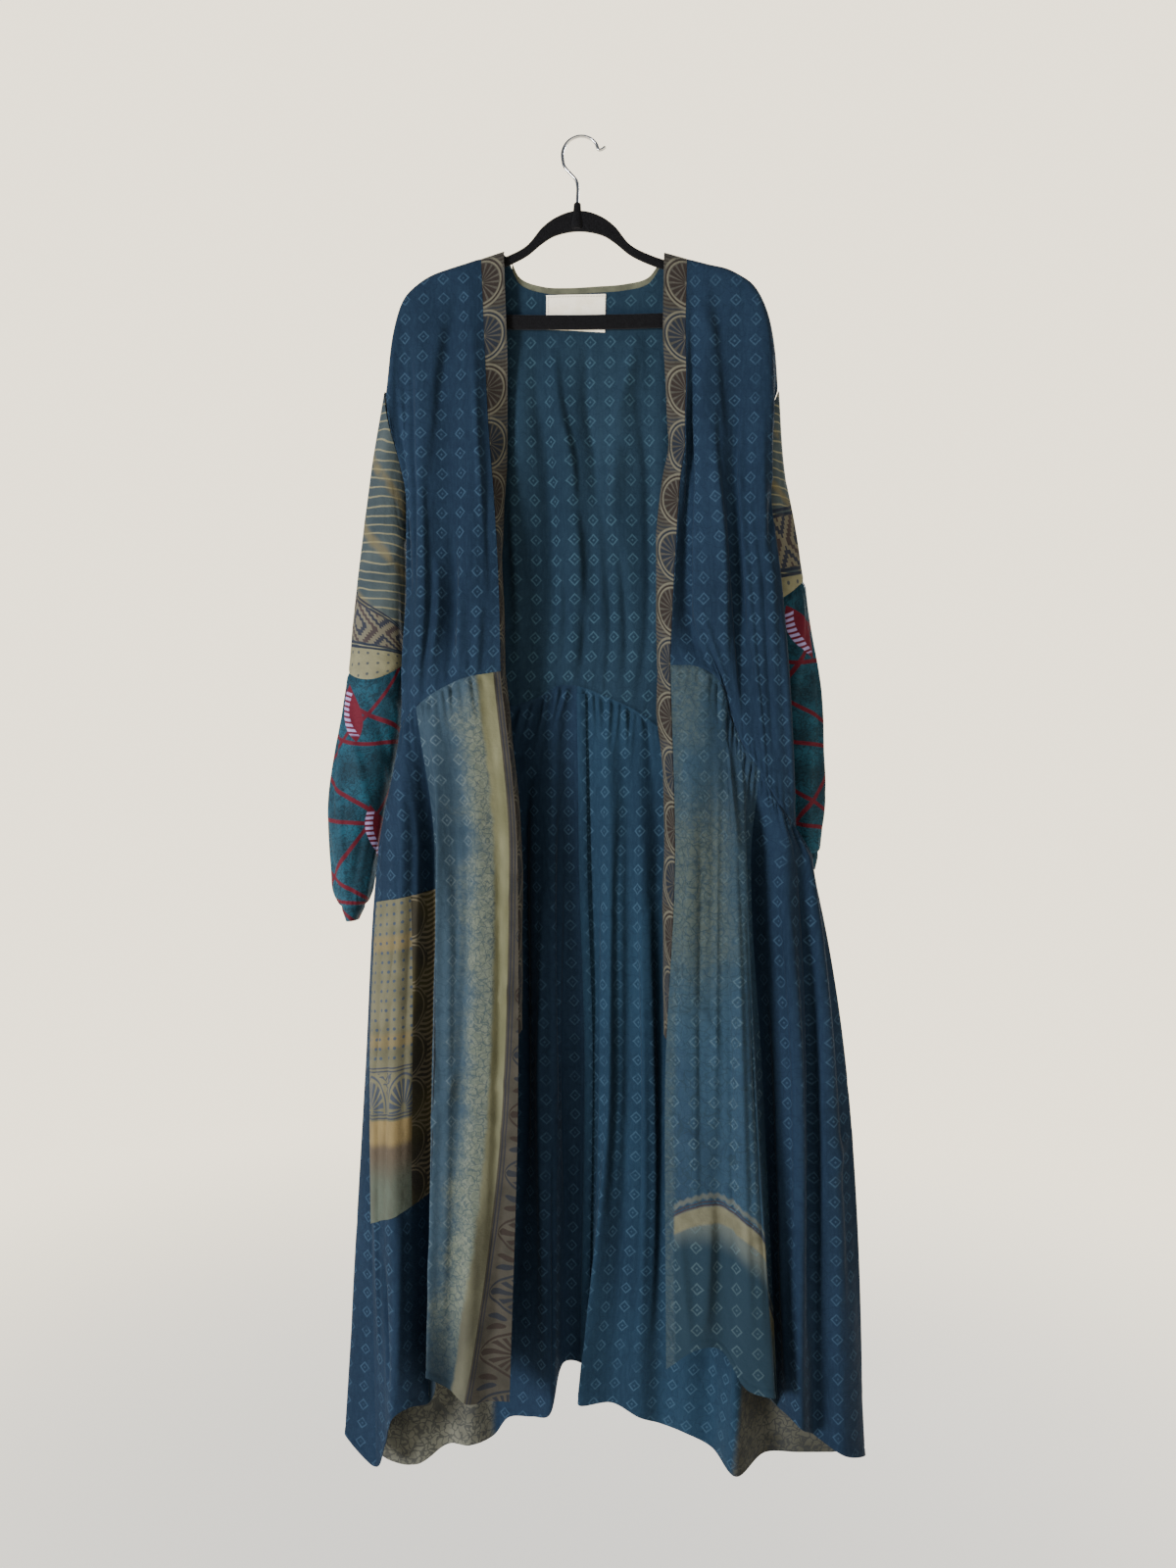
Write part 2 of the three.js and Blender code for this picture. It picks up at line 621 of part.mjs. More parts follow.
function sectionPoint(section, angle) {
  const c = Math.cos(angle);
  const s = Math.sin(angle);
  const midY = (section.frontY + section.backY) / 2;
  const reach = (section.backY - section.frontY) / 2;
  return new THREE.Vector3(
    (section.outerX + section.innerX) / 2 + ((section.outerX - section.innerX) / 2) * c,
    midY - reach * s,
    (section.outerZ + section.innerZ) / 2 + ((section.outerZ - section.innerZ) / 2) * c
      - section.sag * s * s,
  );
}

// The whole sleeve as a function of angle round it and place along it, in sections.
function sleeveSurface(table, front, column) {
  const sections = named(SLEEVE_COLUMNS, [...table.upper, ...table.lower, ...table.cuff]);
  return (angle, place) => {
    const points = [sleeveStart(front, column, angle),
      ...sections.map((section) => sectionPoint(section, angle))];
    return curveAt(points, place);
  };
}

function sleevePiece(surface, side, from, to, count, sides) {
  const grid = [];
  for (let i = 0; i < AROUND; i += 1) {
    const angle = (side * -2 * Math.PI * i) / AROUND;
    grid.push(steps(from, to, (to - from) / count).map((place) => {
      const around = surface(angle - side * 0.02, place).sub(surface(angle + side * 0.02, place));
      const ahead = surface(angle, place + 0.01).sub(surface(angle, Math.max(0, place - 0.01)));
      return { point: surface(angle, place), normal: around.cross(ahead).normalize() };
    }));
  }
  return wall(trimmed(grid, sides), WALL, true);
}

// ---------------------------------------------------------------- hanger and hook
const wasm = await Module();
wasm.setup();

function toSolid(geometry) {
  const bare = geometry.clone();
  bare.deleteAttribute('normal');
  bare.deleteAttribute('uv');
  const merged = mergeVertices(bare, 1e-4);
  return new wasm.Manifold(new wasm.Mesh({
    numProp: 3,
    vertProperties: new Float32Array(merged.attributes.position.array),
    triVerts: new Uint32Array(merged.index.array),
  }));
}

function toGeometry(solid) {
  const mesh = solid.getMesh();
  const geometry = new THREE.BufferGeometry();
  geometry.setAttribute('position', new THREE.BufferAttribute(mesh.vertProperties, 3));
  geometry.setIndex(new THREE.BufferAttribute(mesh.triVerts, 1));
  geometry.computeVertexNormals();
  return geometry;
}

// Half outlines of the hanger's plate from its middle to its end, mirrored for the other half.
const PLATE_OUTER = [[9, -96], [28, -103], [43, -114], [62, -136], [90, -150], [120, -159],
  [166, -171], [188, -184], [200, -198], [203, -206], [199, -218], [188, -226]];
const PLATE_INNER = [[0, -119], [28, -124], [43, -133], [62, -148], [90, -161], [120, -170],
  [160, -180], [178, -191], [187, -199], [187, -206], [180, -211]];

function mirroredOutline(half, centreX) {
  const right = half.map(([x, z]) => new THREE.Vector2(centreX + x, z + LIFT));
  const left = half.filter(([x]) => x !== 0)
    .map(([x, z]) => new THREE.Vector2(centreX - x, z + LIFT)).reverse();
  return [...right, ...left];
}

// The boss's socket takes the wire with a seam's clearance all round.
function hangerFrame() {
  const centreX = HOOK.stemX + 2;
  const outline = new THREE.Shape(mirroredOutline(PLATE_OUTER, centreX));
  outline.holes.push(new THREE.Path(mirroredOutline(PLATE_INNER, centreX).reverse()));
  const plate = new THREE.ExtrudeGeometry(outline, {
    depth: HANGER.thick - 2 * HANGER.bevel,
    bevelThickness: HANGER.bevel,
    bevelSize: HANGER.bevel,
    bevelOffset: -HANGER.bevel,
    bevelSegments: 1,
    steps: 1,
  });
  plate.translate(0, 0, -HANGER.thick / 2 + HANGER.bevel);
  plate.rotateX(Math.PI / 2);
  const top = HOOK.stemFoot + LIFT + 4;
  const boss = new THREE.CylinderGeometry(
    HANGER.bossTop, HANGER.bossFoot, HANGER.bossHeight, 20, 1);
  boss.rotateX(Math.PI / 2);
  boss.translate(HOOK.stemX, 0, top - HANGER.bossHeight / 2);
  const bore = new THREE.CylinderGeometry(
    HOOK.wire / 2 + SEAM, HOOK.wire / 2 + SEAM, 2 * HANGER.bossHeight, 16, 1);
  bore.rotateX(Math.PI / 2);
  bore.translate(HOOK.stemX, 0, HOOK.stemFoot + LIFT - 14 - SEAM + HANGER.bossHeight);
  return toGeometry(toSolid(plate).add(toSolid(boss)).subtract(toSolid(bore)));
}

// The hook's wire: stem, S-bend to the left, round over the top, and a short upturned tip.
function hookWire() {
  const centre = new THREE.Vector2(0, -HOOK.radius + HOOK.wire / 2);
  const onCircle = (degrees) => {
    const a = THREE.MathUtils.degToRad(degrees);
    return [centre.x + HOOK.radius * Math.cos(a), centre.y + HOOK.radius * Math.sin(a)];
  };
  const path = [[HOOK.stemX, HOOK.stemFoot + LIFT - 14], [HOOK.stemX, -72], [HOOK.stemX, -58],
    [-5, -50], [-13, -41], [-19.5, -33]];
  for (let degrees = 195; degrees >= 15; degrees -= 20) {
    path.push(onCircle(degrees));
  }
  path.push([24.5, -14.5], [29, -11.5]);
  const curve = new THREE.CatmullRomCurve3(
    path.map(([x, z]) => new THREE.Vector3(x, 0, z)), false, 'centripetal');
  const ring = Array.from({ length: 10 }, (_, i) => {
    const a = (2 * Math.PI * i) / 10;
    return new THREE.Vector2((HOOK.wire / 2) * Math.cos(a), (HOOK.wire / 2) * Math.sin(a));
  });
  return new THREE.ExtrudeGeometry(new THREE.Shape(ring), {
    steps: 44, extrudePath: curve, bevelEnabled: false,
  });
}

// ---------------------------------------------------------------- the robe
const robe = new THREE.Group();

const LOOKS = {
  indigo: { color: 0x1c3a5c, roughness: 0.9, metalness: 0 },
  teal: { color: 0x1f5468, roughness: 0.9, metalness: 0 },
  slate: { color: 0x5f6d6a, roughness: 0.9, metalness: 0 },
  tan: { color: 0x7a6a52, roughness: 0.9, metalness: 0 },
  beige: { color: 0x8f8a6c, roughness: 0.9, metalness: 0 },
  cream: { color: 0xd8cdb4, roughness: 0.85, metalness: 0 },
  velvet: { color: 0x16161a, roughness: 1, metalness: 0 },
  steel: { color: 0xb8b8b8, roughness: 0.25, metalness: 1 },
};

function add(name, geometry, look) {
  const mesh = new THREE.Mesh(geometry, new THREE.MeshStandardMaterial(LOOKS[look]));
  mesh.name = name;
  robe.add(mesh);
}

add('skirt_front_l', skirtPanel(EDGE_L, VALLEY_L, ['last']), 'indigo');
add('skirt_side_l', skirtPanel(VALLEY_L, SIDE_L, ['first', 'last']), 'indigo');
add('skirt_back_l', skirtPanel(SIDE_L, CENTRE_BACK, ['first', 'last']), 'indigo');
add('skirt_back_r', skirtPanel(CENTRE_BACK, SIDE_R, ['first', 'last']), 'indigo');
add('skirt_side_r', skirtPanel(SIDE_R, VALLEY_R, ['first', 'last']), 'indigo');
add('skirt_front_r', skirtPanel(VALLEY_R, EDGE_R, ['first']), 'indigo');

const NECK_L = 17;
const NECK_R = 27.4;
add('bodice_front_l', bodice(frontL, { from: EDGE_L, to: SIDE_L }, () => true,
  ['last', 'top', 'foot']), 'indigo');
add('bodice_front_r', bodice(frontR, { from: SIDE_R, to: EDGE_R }, () => true,
  ['first', 'top', 'foot']), 'indigo');
add('bodice_back', bodice(back, { from: SIDE_L, to: SIDE_R },
  (column) => column <= NECK_L || column >= NECK_R, ['first', 'last', 'top', 'foot']), 'indigo');

add('band_front_l', frontBand(frontL, skirtAt, EDGE_L, BAND_TURN_L, 1), 'tan');
add('band_front_r', frontBand(frontR, skirtAt, EDGE_R, BAND_TURN_R, -1), 'tan');
add('band_neck_back', neckBand(), 'slate');
add('label', label(), 'cream');
add('patch_side', patch(), 'beige');

for (const [suffix, side, table, front, column, upperRows, lowerRows] of [
  ['l', 1, SLEEVE_L, frontL, SIDE_L, 7, 8], ['r', -1, SLEEVE_R, frontR, SIDE_R, 6, 9]]) {
  const surface = sleeveSurface(table, front, column);
  const elbow = table.upper.length;
  const wrist = elbow + table.lower.length;
  add(`sleeve_upper_${suffix}`, sleevePiece(surface, side, 0, elbow, upperRows, ['foot']), 'slate');
  const lower = sleevePiece(surface, side, elbow, wrist, lowerRows, ['top', 'foot']);
  add(`sleeve_lower_${suffix}`, lower, 'teal');
  add(`cuff_${suffix}`, sleevePiece(surface, side, wrist, wrist + 1, 1, ['top']), 'indigo');
}

const hanger = new THREE.Group();
hanger.rotation.y = THREE.MathUtils.degToRad(-HANGER.tilt);
for (const [name, geometry, look] of [
  ['hanger_frame', hangerFrame(), 'velvet'], ['hanger_hook', hookWire(), 'steel']]) {
  const mesh = new THREE.Mesh(geometry, new THREE.MeshStandardMaterial(LOOKS[look]));
  mesh.name = name;
  hanger.add(mesh);
}
robe.add(hanger);

export default robe;
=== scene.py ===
"""A long open-fronted patchwork kimono robe on a flat velvet hanger.

Lengths in the tables are millimetres in the frame of the solids: +X is the viewer's right,
-Y the open front and +Z up, with the origin at the inner top of the hanger's hook.
Names end in _l and _r for the viewer's left and right.
"""

import math

import bpy
import numpy as np
from mathutils import Matrix, Vector


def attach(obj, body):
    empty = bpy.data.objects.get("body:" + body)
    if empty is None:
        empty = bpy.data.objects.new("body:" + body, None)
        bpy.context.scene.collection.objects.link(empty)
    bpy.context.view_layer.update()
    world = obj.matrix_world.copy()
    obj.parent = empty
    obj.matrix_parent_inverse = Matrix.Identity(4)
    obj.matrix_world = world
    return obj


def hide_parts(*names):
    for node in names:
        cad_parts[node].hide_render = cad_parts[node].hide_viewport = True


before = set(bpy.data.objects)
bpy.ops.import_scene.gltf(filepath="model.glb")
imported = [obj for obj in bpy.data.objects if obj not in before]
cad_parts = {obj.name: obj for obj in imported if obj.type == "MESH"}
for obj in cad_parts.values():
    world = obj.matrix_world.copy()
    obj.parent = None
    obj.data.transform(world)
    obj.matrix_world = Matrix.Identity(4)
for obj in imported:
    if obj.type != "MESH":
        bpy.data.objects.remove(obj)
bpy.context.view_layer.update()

# ---------------------------------------------------------------- sizes
MM = 0.001
LIFT = 8.75  # table heights are taken from a line this far above the hook's seat
CLOTH, THIN_CLOTH, FOLDED_CLOTH, NECK_CLOTH = 0.9, 0.8, 1.3, 1.1  # thickness of the shells
STEP = 0.1  # spacing of the fine columns
SKIRT_STEP = 1 / 15  # and of the skirt's, which carry the gathers
AROUND = 112  # points round a sleeve
SLEEVE_STEPS = 0.06, 0.07, 0.1  # spacing along the upper sleeve, lower sleeve and cuff
FOLD_DEPTH = 3.0  # how much deeper and wider the creases are made than their tables say
FOLD_WIDTH = 1.25

# Small pleats that run out from a seam: spacing, reach and height (a trough is negative).
SKIRT_GATHERS, SKIRT_PLEATS = (13, 70, -5.4), (30, 150, 3.2)
BODICE_GATHERS = (13, 50, -2.2)
ELBOW_GATHERS, WRIST_GATHERS = (10, 40, 1.8), (7, 45, 1.8)
CALM, DENT_CALM = 8, 6  # folds and side seam dents die out this near the waist seam
WAIST_DENT, SLEEVE_DENT = 1.6, 1.2  # depth of the dents at the seams
HEM = {"width": 9, "height": 0.35, "stitch_depth": 0.5, "stitch_width": 1.3}
SKIRT_WRINKLES, BODICE_WRINKLES, SLEEVE_WRINKLES = 30, 16, 40  # per six columns; per sleeve

HOOK = {"wire": 3.5, "radius": 22, "stem_x": -3, "stem_foot": -90, "in_boss": 14}
HANGER = {"thick": 5.0, "round": 1.6, "tilt": -0.8, "middle": -1}
BAND = {"width": 27, "foot": -1072, "rise": 0.3, "rise_fade": 80}
NECKBAND = {"width": 27, "stand": 8, "off": 1.4, "first": 17.45, "last": 27.05}
LABEL = {"first": 19.7, "last": 23.6, "top": (-191, -191), "foot": (-231.5, -236), "rows": 20,
         "lift": -1.4}
PATCH = {"first": 5.5, "last": 10, "top": (-900, -918), "foot": (-1264, -1306), "rows": 90,
         "lift": 1.3}
ALLOWANCE = 10  # width of the seam allowance that stands inside the centre-back seam

# The stage, in metres and degrees.
FLOOR = {"z": -1.78, "radius": 7, "near": 1.5, "far": 2.8, "colour": (0.86, 0.84, 0.79, 1)}
WALL_COLOUR, WALL_STRENGTH = (1.0, 0.89, 0.68, 1), 2.6
SKY_COLOUR, SKY_STRENGTH = (0.72, 0.84, 1.0, 1), 0.2
CAMERA = {"place": (0.11536, -1.4461, -0.74251), "yaw": 4.1, "pitch": 0.92, "roll": 0.26,
          "lens": 27.88}
# Name, place, target, size, watts and colour of each lamp.
LAMPS = [
    ("key", (-2.6, -2.7, -0.75), (0, 0, -0.95), 1.1, 225, (0.97, 0.98, 1)),
    ("fill", (2.4, -2.6, -0.6), (0, 0, -0.9), 2.0, 16, (0.95, 0.98, 1)),
    ("back", (1.6, 2.8, 0.9), (0, 0, -0.8), 1.5, 200, (1, 1, 1)),
    ("top", (0, 0.6, 2.6), (0, 0, -1.78), 2.4, 25, (1, 1, 1)),
]

# Heights at which the tables give the cloth's plan position.
HIP, KNEE = -860, -1130
CHEST, UNDERARM, LOW = -340, -442, -560
ROLL = 7  # the cloth rolls over the hanger's arms with this radius

# Columns of cloth are numbered by the skirt's folds, from the left front edge round the
# back to the right front edge. These numbers are where the seams run.
EDGE_L, VALLEY_L, SIDE_L, CENTRE_BACK, SIDE_R, VALLEY_R, EDGE_R = 0, 6, 10, 22, 34, 40, 46
NECK_L, NECK_R = 17, 27.4
# The bodice's side seams face this way, fading to each panel's own way up the armhole.
SIDE_OUTWARD = {SIDE_L: (-1, 0, 0), SIDE_R: (0.7, 0.7, 0)}
ARMHOLE_FADE = 40

# ---------------------------------------------------------------- tables
# One row per fold: the waist seam point, the plan position at hip and knee, and the hem.
SKIRT_COLUMNS = "waist_x waist_y waist_z hip_x hip_y knee_x knee_y hem_x hem_y hem_z"
SKIRT_FOLDS = [
    # front panel, left
    (-90, -28, -642, -68, -34, -65, -46, -72, -60, -1490),
    (-108, -30, -645, -91, -31, -90, -42, -97, -55, -1493),
    (-130, -32, -649, -117, -41, -117, -53, -122, -66, -1492),
    (-150, -31, -657, -140, -34, -142, -46, -143, -57, -1480),
    (-172, -30, -669, -162, -45, -166, -57, -168, -67, -1463),
    (-184, -26, -677, -157, -29, -160, -36, -163, -41, -1480),
    # side panel, left
    (-192, -23, -684, -172, -9, -176, -6, -179, 0, -1528),
    (-199, -19, -690, -191, -24, -195, -27, -198, -30, -1519),
    (-207, -14, -698, -206, -37, -214, -42, -213, -38, -1526),
    (-213, -9, -705, -224, -26, -234, -28, -228, -20, -1572),
    # back, left half
    (-214, -2, -710, -237, -12, -248, -15, -243, -4, -1607),
    (-209, 7, -711, -240, 0, -256, 2, -286, 14, -1578),
    (-201, 15, -708, -226, 13, -240, 20, -262, 30, -1600),
    (-188, 20, -702, -208, 25, -218, 31, -234, 36, -1622),
    (-168, 22, -696, -178, 17, -184, 15, -198, 28, -1620),
    (-142, 24, -691, -148, 30, -156, 34, -163, 40, -1600),
    (-115, 25, -686, -120, 19, -127, 18, -131, 25, -1592),
    (-92, 25, -682, -94, 31, -96, 37, -106, 42, -1588),
    (-72, 25, -678, -72, 36, -69, 41, -86, 38, -1562),
    (-48, 26, -668, -52, 24, -50, 24, -56, 29, -1555),
    (-28, 26, -656, -32, 18, -31, 16, -34, 20, -1548),
    (-16, 27, -655, -18, 35, -18, 39, -18, 41, -1492),
    # back, right half
    (-4, 27, -656, -2, 37, 6, 41, 2, 43, -1492),
    (12, 27, -661, 20, 36, 24, 40, 16, 45, -1506),
    (28, 26, -668, 38, 20, 37, 19, 1, 24, -1535),
    (48, 26, -676, 58, 30, 60, 35, 42, 34, -1536),
    (64, 25, -684, 76, 23, 78, 24, 76, 28, -1550),
    (82, 24, -696, 96, 32, 100, 37, 102, 39, -1562),
    (102, 23, -712, 122, 22, 128, 22, 132, 27, -1566),
    (126, 22, -731, 150, 31, 158, 36, 164, 24, -1580),
    (152, 20, -750, 176, 18, 186, 12, 191, -12, -1594),
    (178, 18, -772, 200, 25, 216, 33, 230, 36, -1590),
    (204, 15, -793, 226, 16, 250, 24, 270, 32, -1586),
    (224, 10, -808, 244, 10, 280, 20, 310, 34, -1585),
    # side panel, right
    (240, 5, -817, 258, 7, 303, 17, 336, 30, -1580),
    (252, -2, -823, 275, 0, 318, 6, 347, 18, -1578),
    (257, -10, -825, 273, -14, 302, -19, 318, -14, -1562),
    (255, -18, -821, 262, -18, 277, -13, 284, -8, -1542),
    (244, -27, -808, 244, -33, 256, -38, 266, -38, -1520),
    (228, -32, -784, 224, -23, 240, -26, 252, -26, -1511),
    # front panel, right
    (213, -34, -757, 205, -9, 221, -8, 241, -4, -1512),
    (202, -33, -742, 193, -29, 206, -37, 227, -43, -1480),
    (191, -28, -724, 197, -47, 211, -58, 232, -67, -1470),
    (180, -21, -694, 182, -51, 192, -62, 201, -68, -1461),
    (167, -28, -654, 165, -41, 168, -51, 171, -60, -1420),
    (140, -31, -637, 142, -47, 142, -59, 146, -67, -1417),
    (109, -28, -635, 116, -36, 106, -46, 109, -60, -1445),
]

# One row per fold of the bodice: the column it runs down to, its start on the shoulder or
# neck line, and its plan position at chest, underarm and low bodice.
BODICE_COLUMNS = "column top_x top_z chest_x chest_y under_x under_y low_x low_y"
FRONT_L_FOLDS = [
    (0, -118, -150, -108, -17, -99, -22, -92, -27),
    (1, -124, -151, -116, -21, -110, -27, -107, -31),
    (2, -134, -154, -126, -23, -126, -29, -130, -32),
    (3.6, -158, -161, -156, -13, -153, -19, -154, -21),
    (5.2, -176, -167, -178, -17, -176, -23, -176, -26),
    (6.4, -192, -176, -194, -20, -190, -27, -188, -29),
    (8, -211, -194, -209, -9, -202, -16, -200, -19),
    (9, -224, -232, -223, -13, -206, -12, -206, -12),
    (10, -233, -305, -227, -16, -204, 0, -201, 0),
]
BACK_FOLDS = [
    (10, -233, -305, -227, 14, -204, 0, -201, 0),
    (11, -224, -232, -222, 15, -203, 9, -203, 9),
    (12, -211, -194, -207, 15, -196, 17, -196, 16),
    (13.5, -186, -173, -182, 10, -178, 14, -178, 18),
    (15, -150, -159, -150, 16, -147, 22, -147, 23),
    (16, -118, -150, -121, 10, -118, 14, -118, 18),
    (17, -93, -142, -94, 13, -92, 18, -92, 21),
    (18, -73, -177, -72, 8, -72, 13, -72, 19),
    (19.5, -45, -188, -44, 14, -40, 21, -38, 25),
    (21, -18, -190, -20, 9, -14, 14, -12, 20),
    (23, 20, -189, 18, 14, 20, 21, 22, 25),
    (25, 52, -187, 48, 9, 46, 15, 48, 20),
    (26.4, 80, -180, 78, 13, 76, 19, 78, 22),
    (27.4, 104, -150, 100, 11, 98, 16, 98, 19),
    (28.6, 127, -156, 124, 15, 122, 20, 122, 22),
    (30, 164, -164, 158, 10, 154, 13, 156, 15),
    (31.6, 198, -181, 188, 14, 182, 17, 186, 17),
    (33, 219, -214, 214, 14, 198, 11, 203, 10),
    (34, 233, -312, 222, 13, 203, 2, 208, 2),
]
FRONT_R_FOLDS = [
    (34, 233, -312, 222, -8, 203, 2, 208, 2),
    (35, 229, -262, 228, -12, 217, -8, 228, -9),
    (36.4, 222, -225, 224, -19, 227, -21, 239, -24),
    (38, 212, -200, 213, -19, 214, -29, 222, -35),
    (39.4, 202, -186, 200, -14, 197, -21, 204, -27),
    (40.8, 188, -176, 184, -8, 182, -14, 188, -17),
    (42.4, 172, -168, 166, -15, 166, -26, 172, -32),
    (43.6, 152, -163, 145, -18, 142, -27, 145, -32),
    (45.2, 134, -158, 129, -9, 126, -12, 126, -14),
    (46, 126, -156, 123, -15, 118, -22, 112, -26),
]

# How far each front band is turned back out of the front's plane: height, degrees.
BAND_TURN_L = [(-158, 0), (-240, 6), (-290, 24), (-354, 42), (-403, 58), (-440, 74),
               (-500, 86), (-1080, 88)]
BAND_TURN_R = [(-160, 0), (-245, 7), (-370, 44), (-480, 26), (-570, 44), (-640, 56),
               (-690, 50), (-760, 62), (-920, 62), (-1080, 84)]

# One row per section of a sleeve below its armhole: the outer and inner points, the front
# and back reach, and how far the section sags between them.
SLEEVE_COLUMNS = "outer_x outer_z inner_x inner_z front_y back_y sag"
SLEEVE_L = {
    "upper": [(-251, -392, -210, -470, -17, 26, 4), (-265, -492, -210, -530, -19, 33, 6),
              (-275, -580, -212, -590, -19, 37, 8), (-281, -641, -211, -632, -19, 39, 14)],
    "lower": [(-294, -712, -217, -706, -20, 42, 8), (-306, -800, -235, -796, -21, 43, 0),
              (-303, -872, -246, -868, -18, 42, 0), (-300, -905, -252, -902, -12, 39, 0),
              (-291, -926, -262, -924, -6, 35, 0)],
    "cuff": [(-284, -943, -271, -942, -3, 32, 0)],
}
SLEEVE_R = {
    "upper": [(242, -396, 212, -472, -4, 34, 4), (258, -488, 217, -530, 0, 40, 4),
              (267, -532, 220, -560, 1, 42, 6)],
    "lower": [(276, -588, 225, -596, 2, 43, 8), (289, -660, 234, -660, 6, 44, 4),
              (293, -735, 242, -735, 9, 45, 0), (293, -795, 250, -795, 12, 45, 0),
              (290, -835, 257, -835, 17, 45, 0), (288, -856, 263, -856, 20, 44, 0)],
    "cuff": [(284, -876, 270, -876, 22, 42, 0)],
}
# How far a sleeve's first loop stands off the armhole.
START_L = {"side": -1, "out": 1.5, "under": 2.6, "behind": 0}
START_R = {"side": 1, "out": 1.2, "under": 4.5, "behind": 3.2}

# Half outlines of the hanger's plate from its middle to its end.
PLATE_OUTER = [(9, -96), (28, -103), (43, -114), (62, -136), (90, -150), (120, -159),
               (166, -171), (188, -184), (200, -198), (203, -206), (199, -218), (188, -226)]
PLATE_INNER = [(0, -119), (28, -124), (43, -133), (62, -148), (90, -161), (120, -170),
               (160, -180), (178, -191), (187, -199), (187, -206), (180, -211)]
# The boss that holds the hook: radius and height below its top.
BOSS = [(2.1, 0), (3.2, 0), (4.2, -1.2), (4.8, -10), (6.6, -24), (7.0, -30), (6, -31)]
BOSS_SIDES, BOSS_RISE = 40, 4
# The hook's stem and S-bend above its foot, and its upturned tip.
HOOK_STEM = [(-3, -72), (-3, -58), (-5, -50), (-13, -41), (-19.5, -33)]
HOOK_TIP = [(24.5, -14.5), (29, -11.5)]

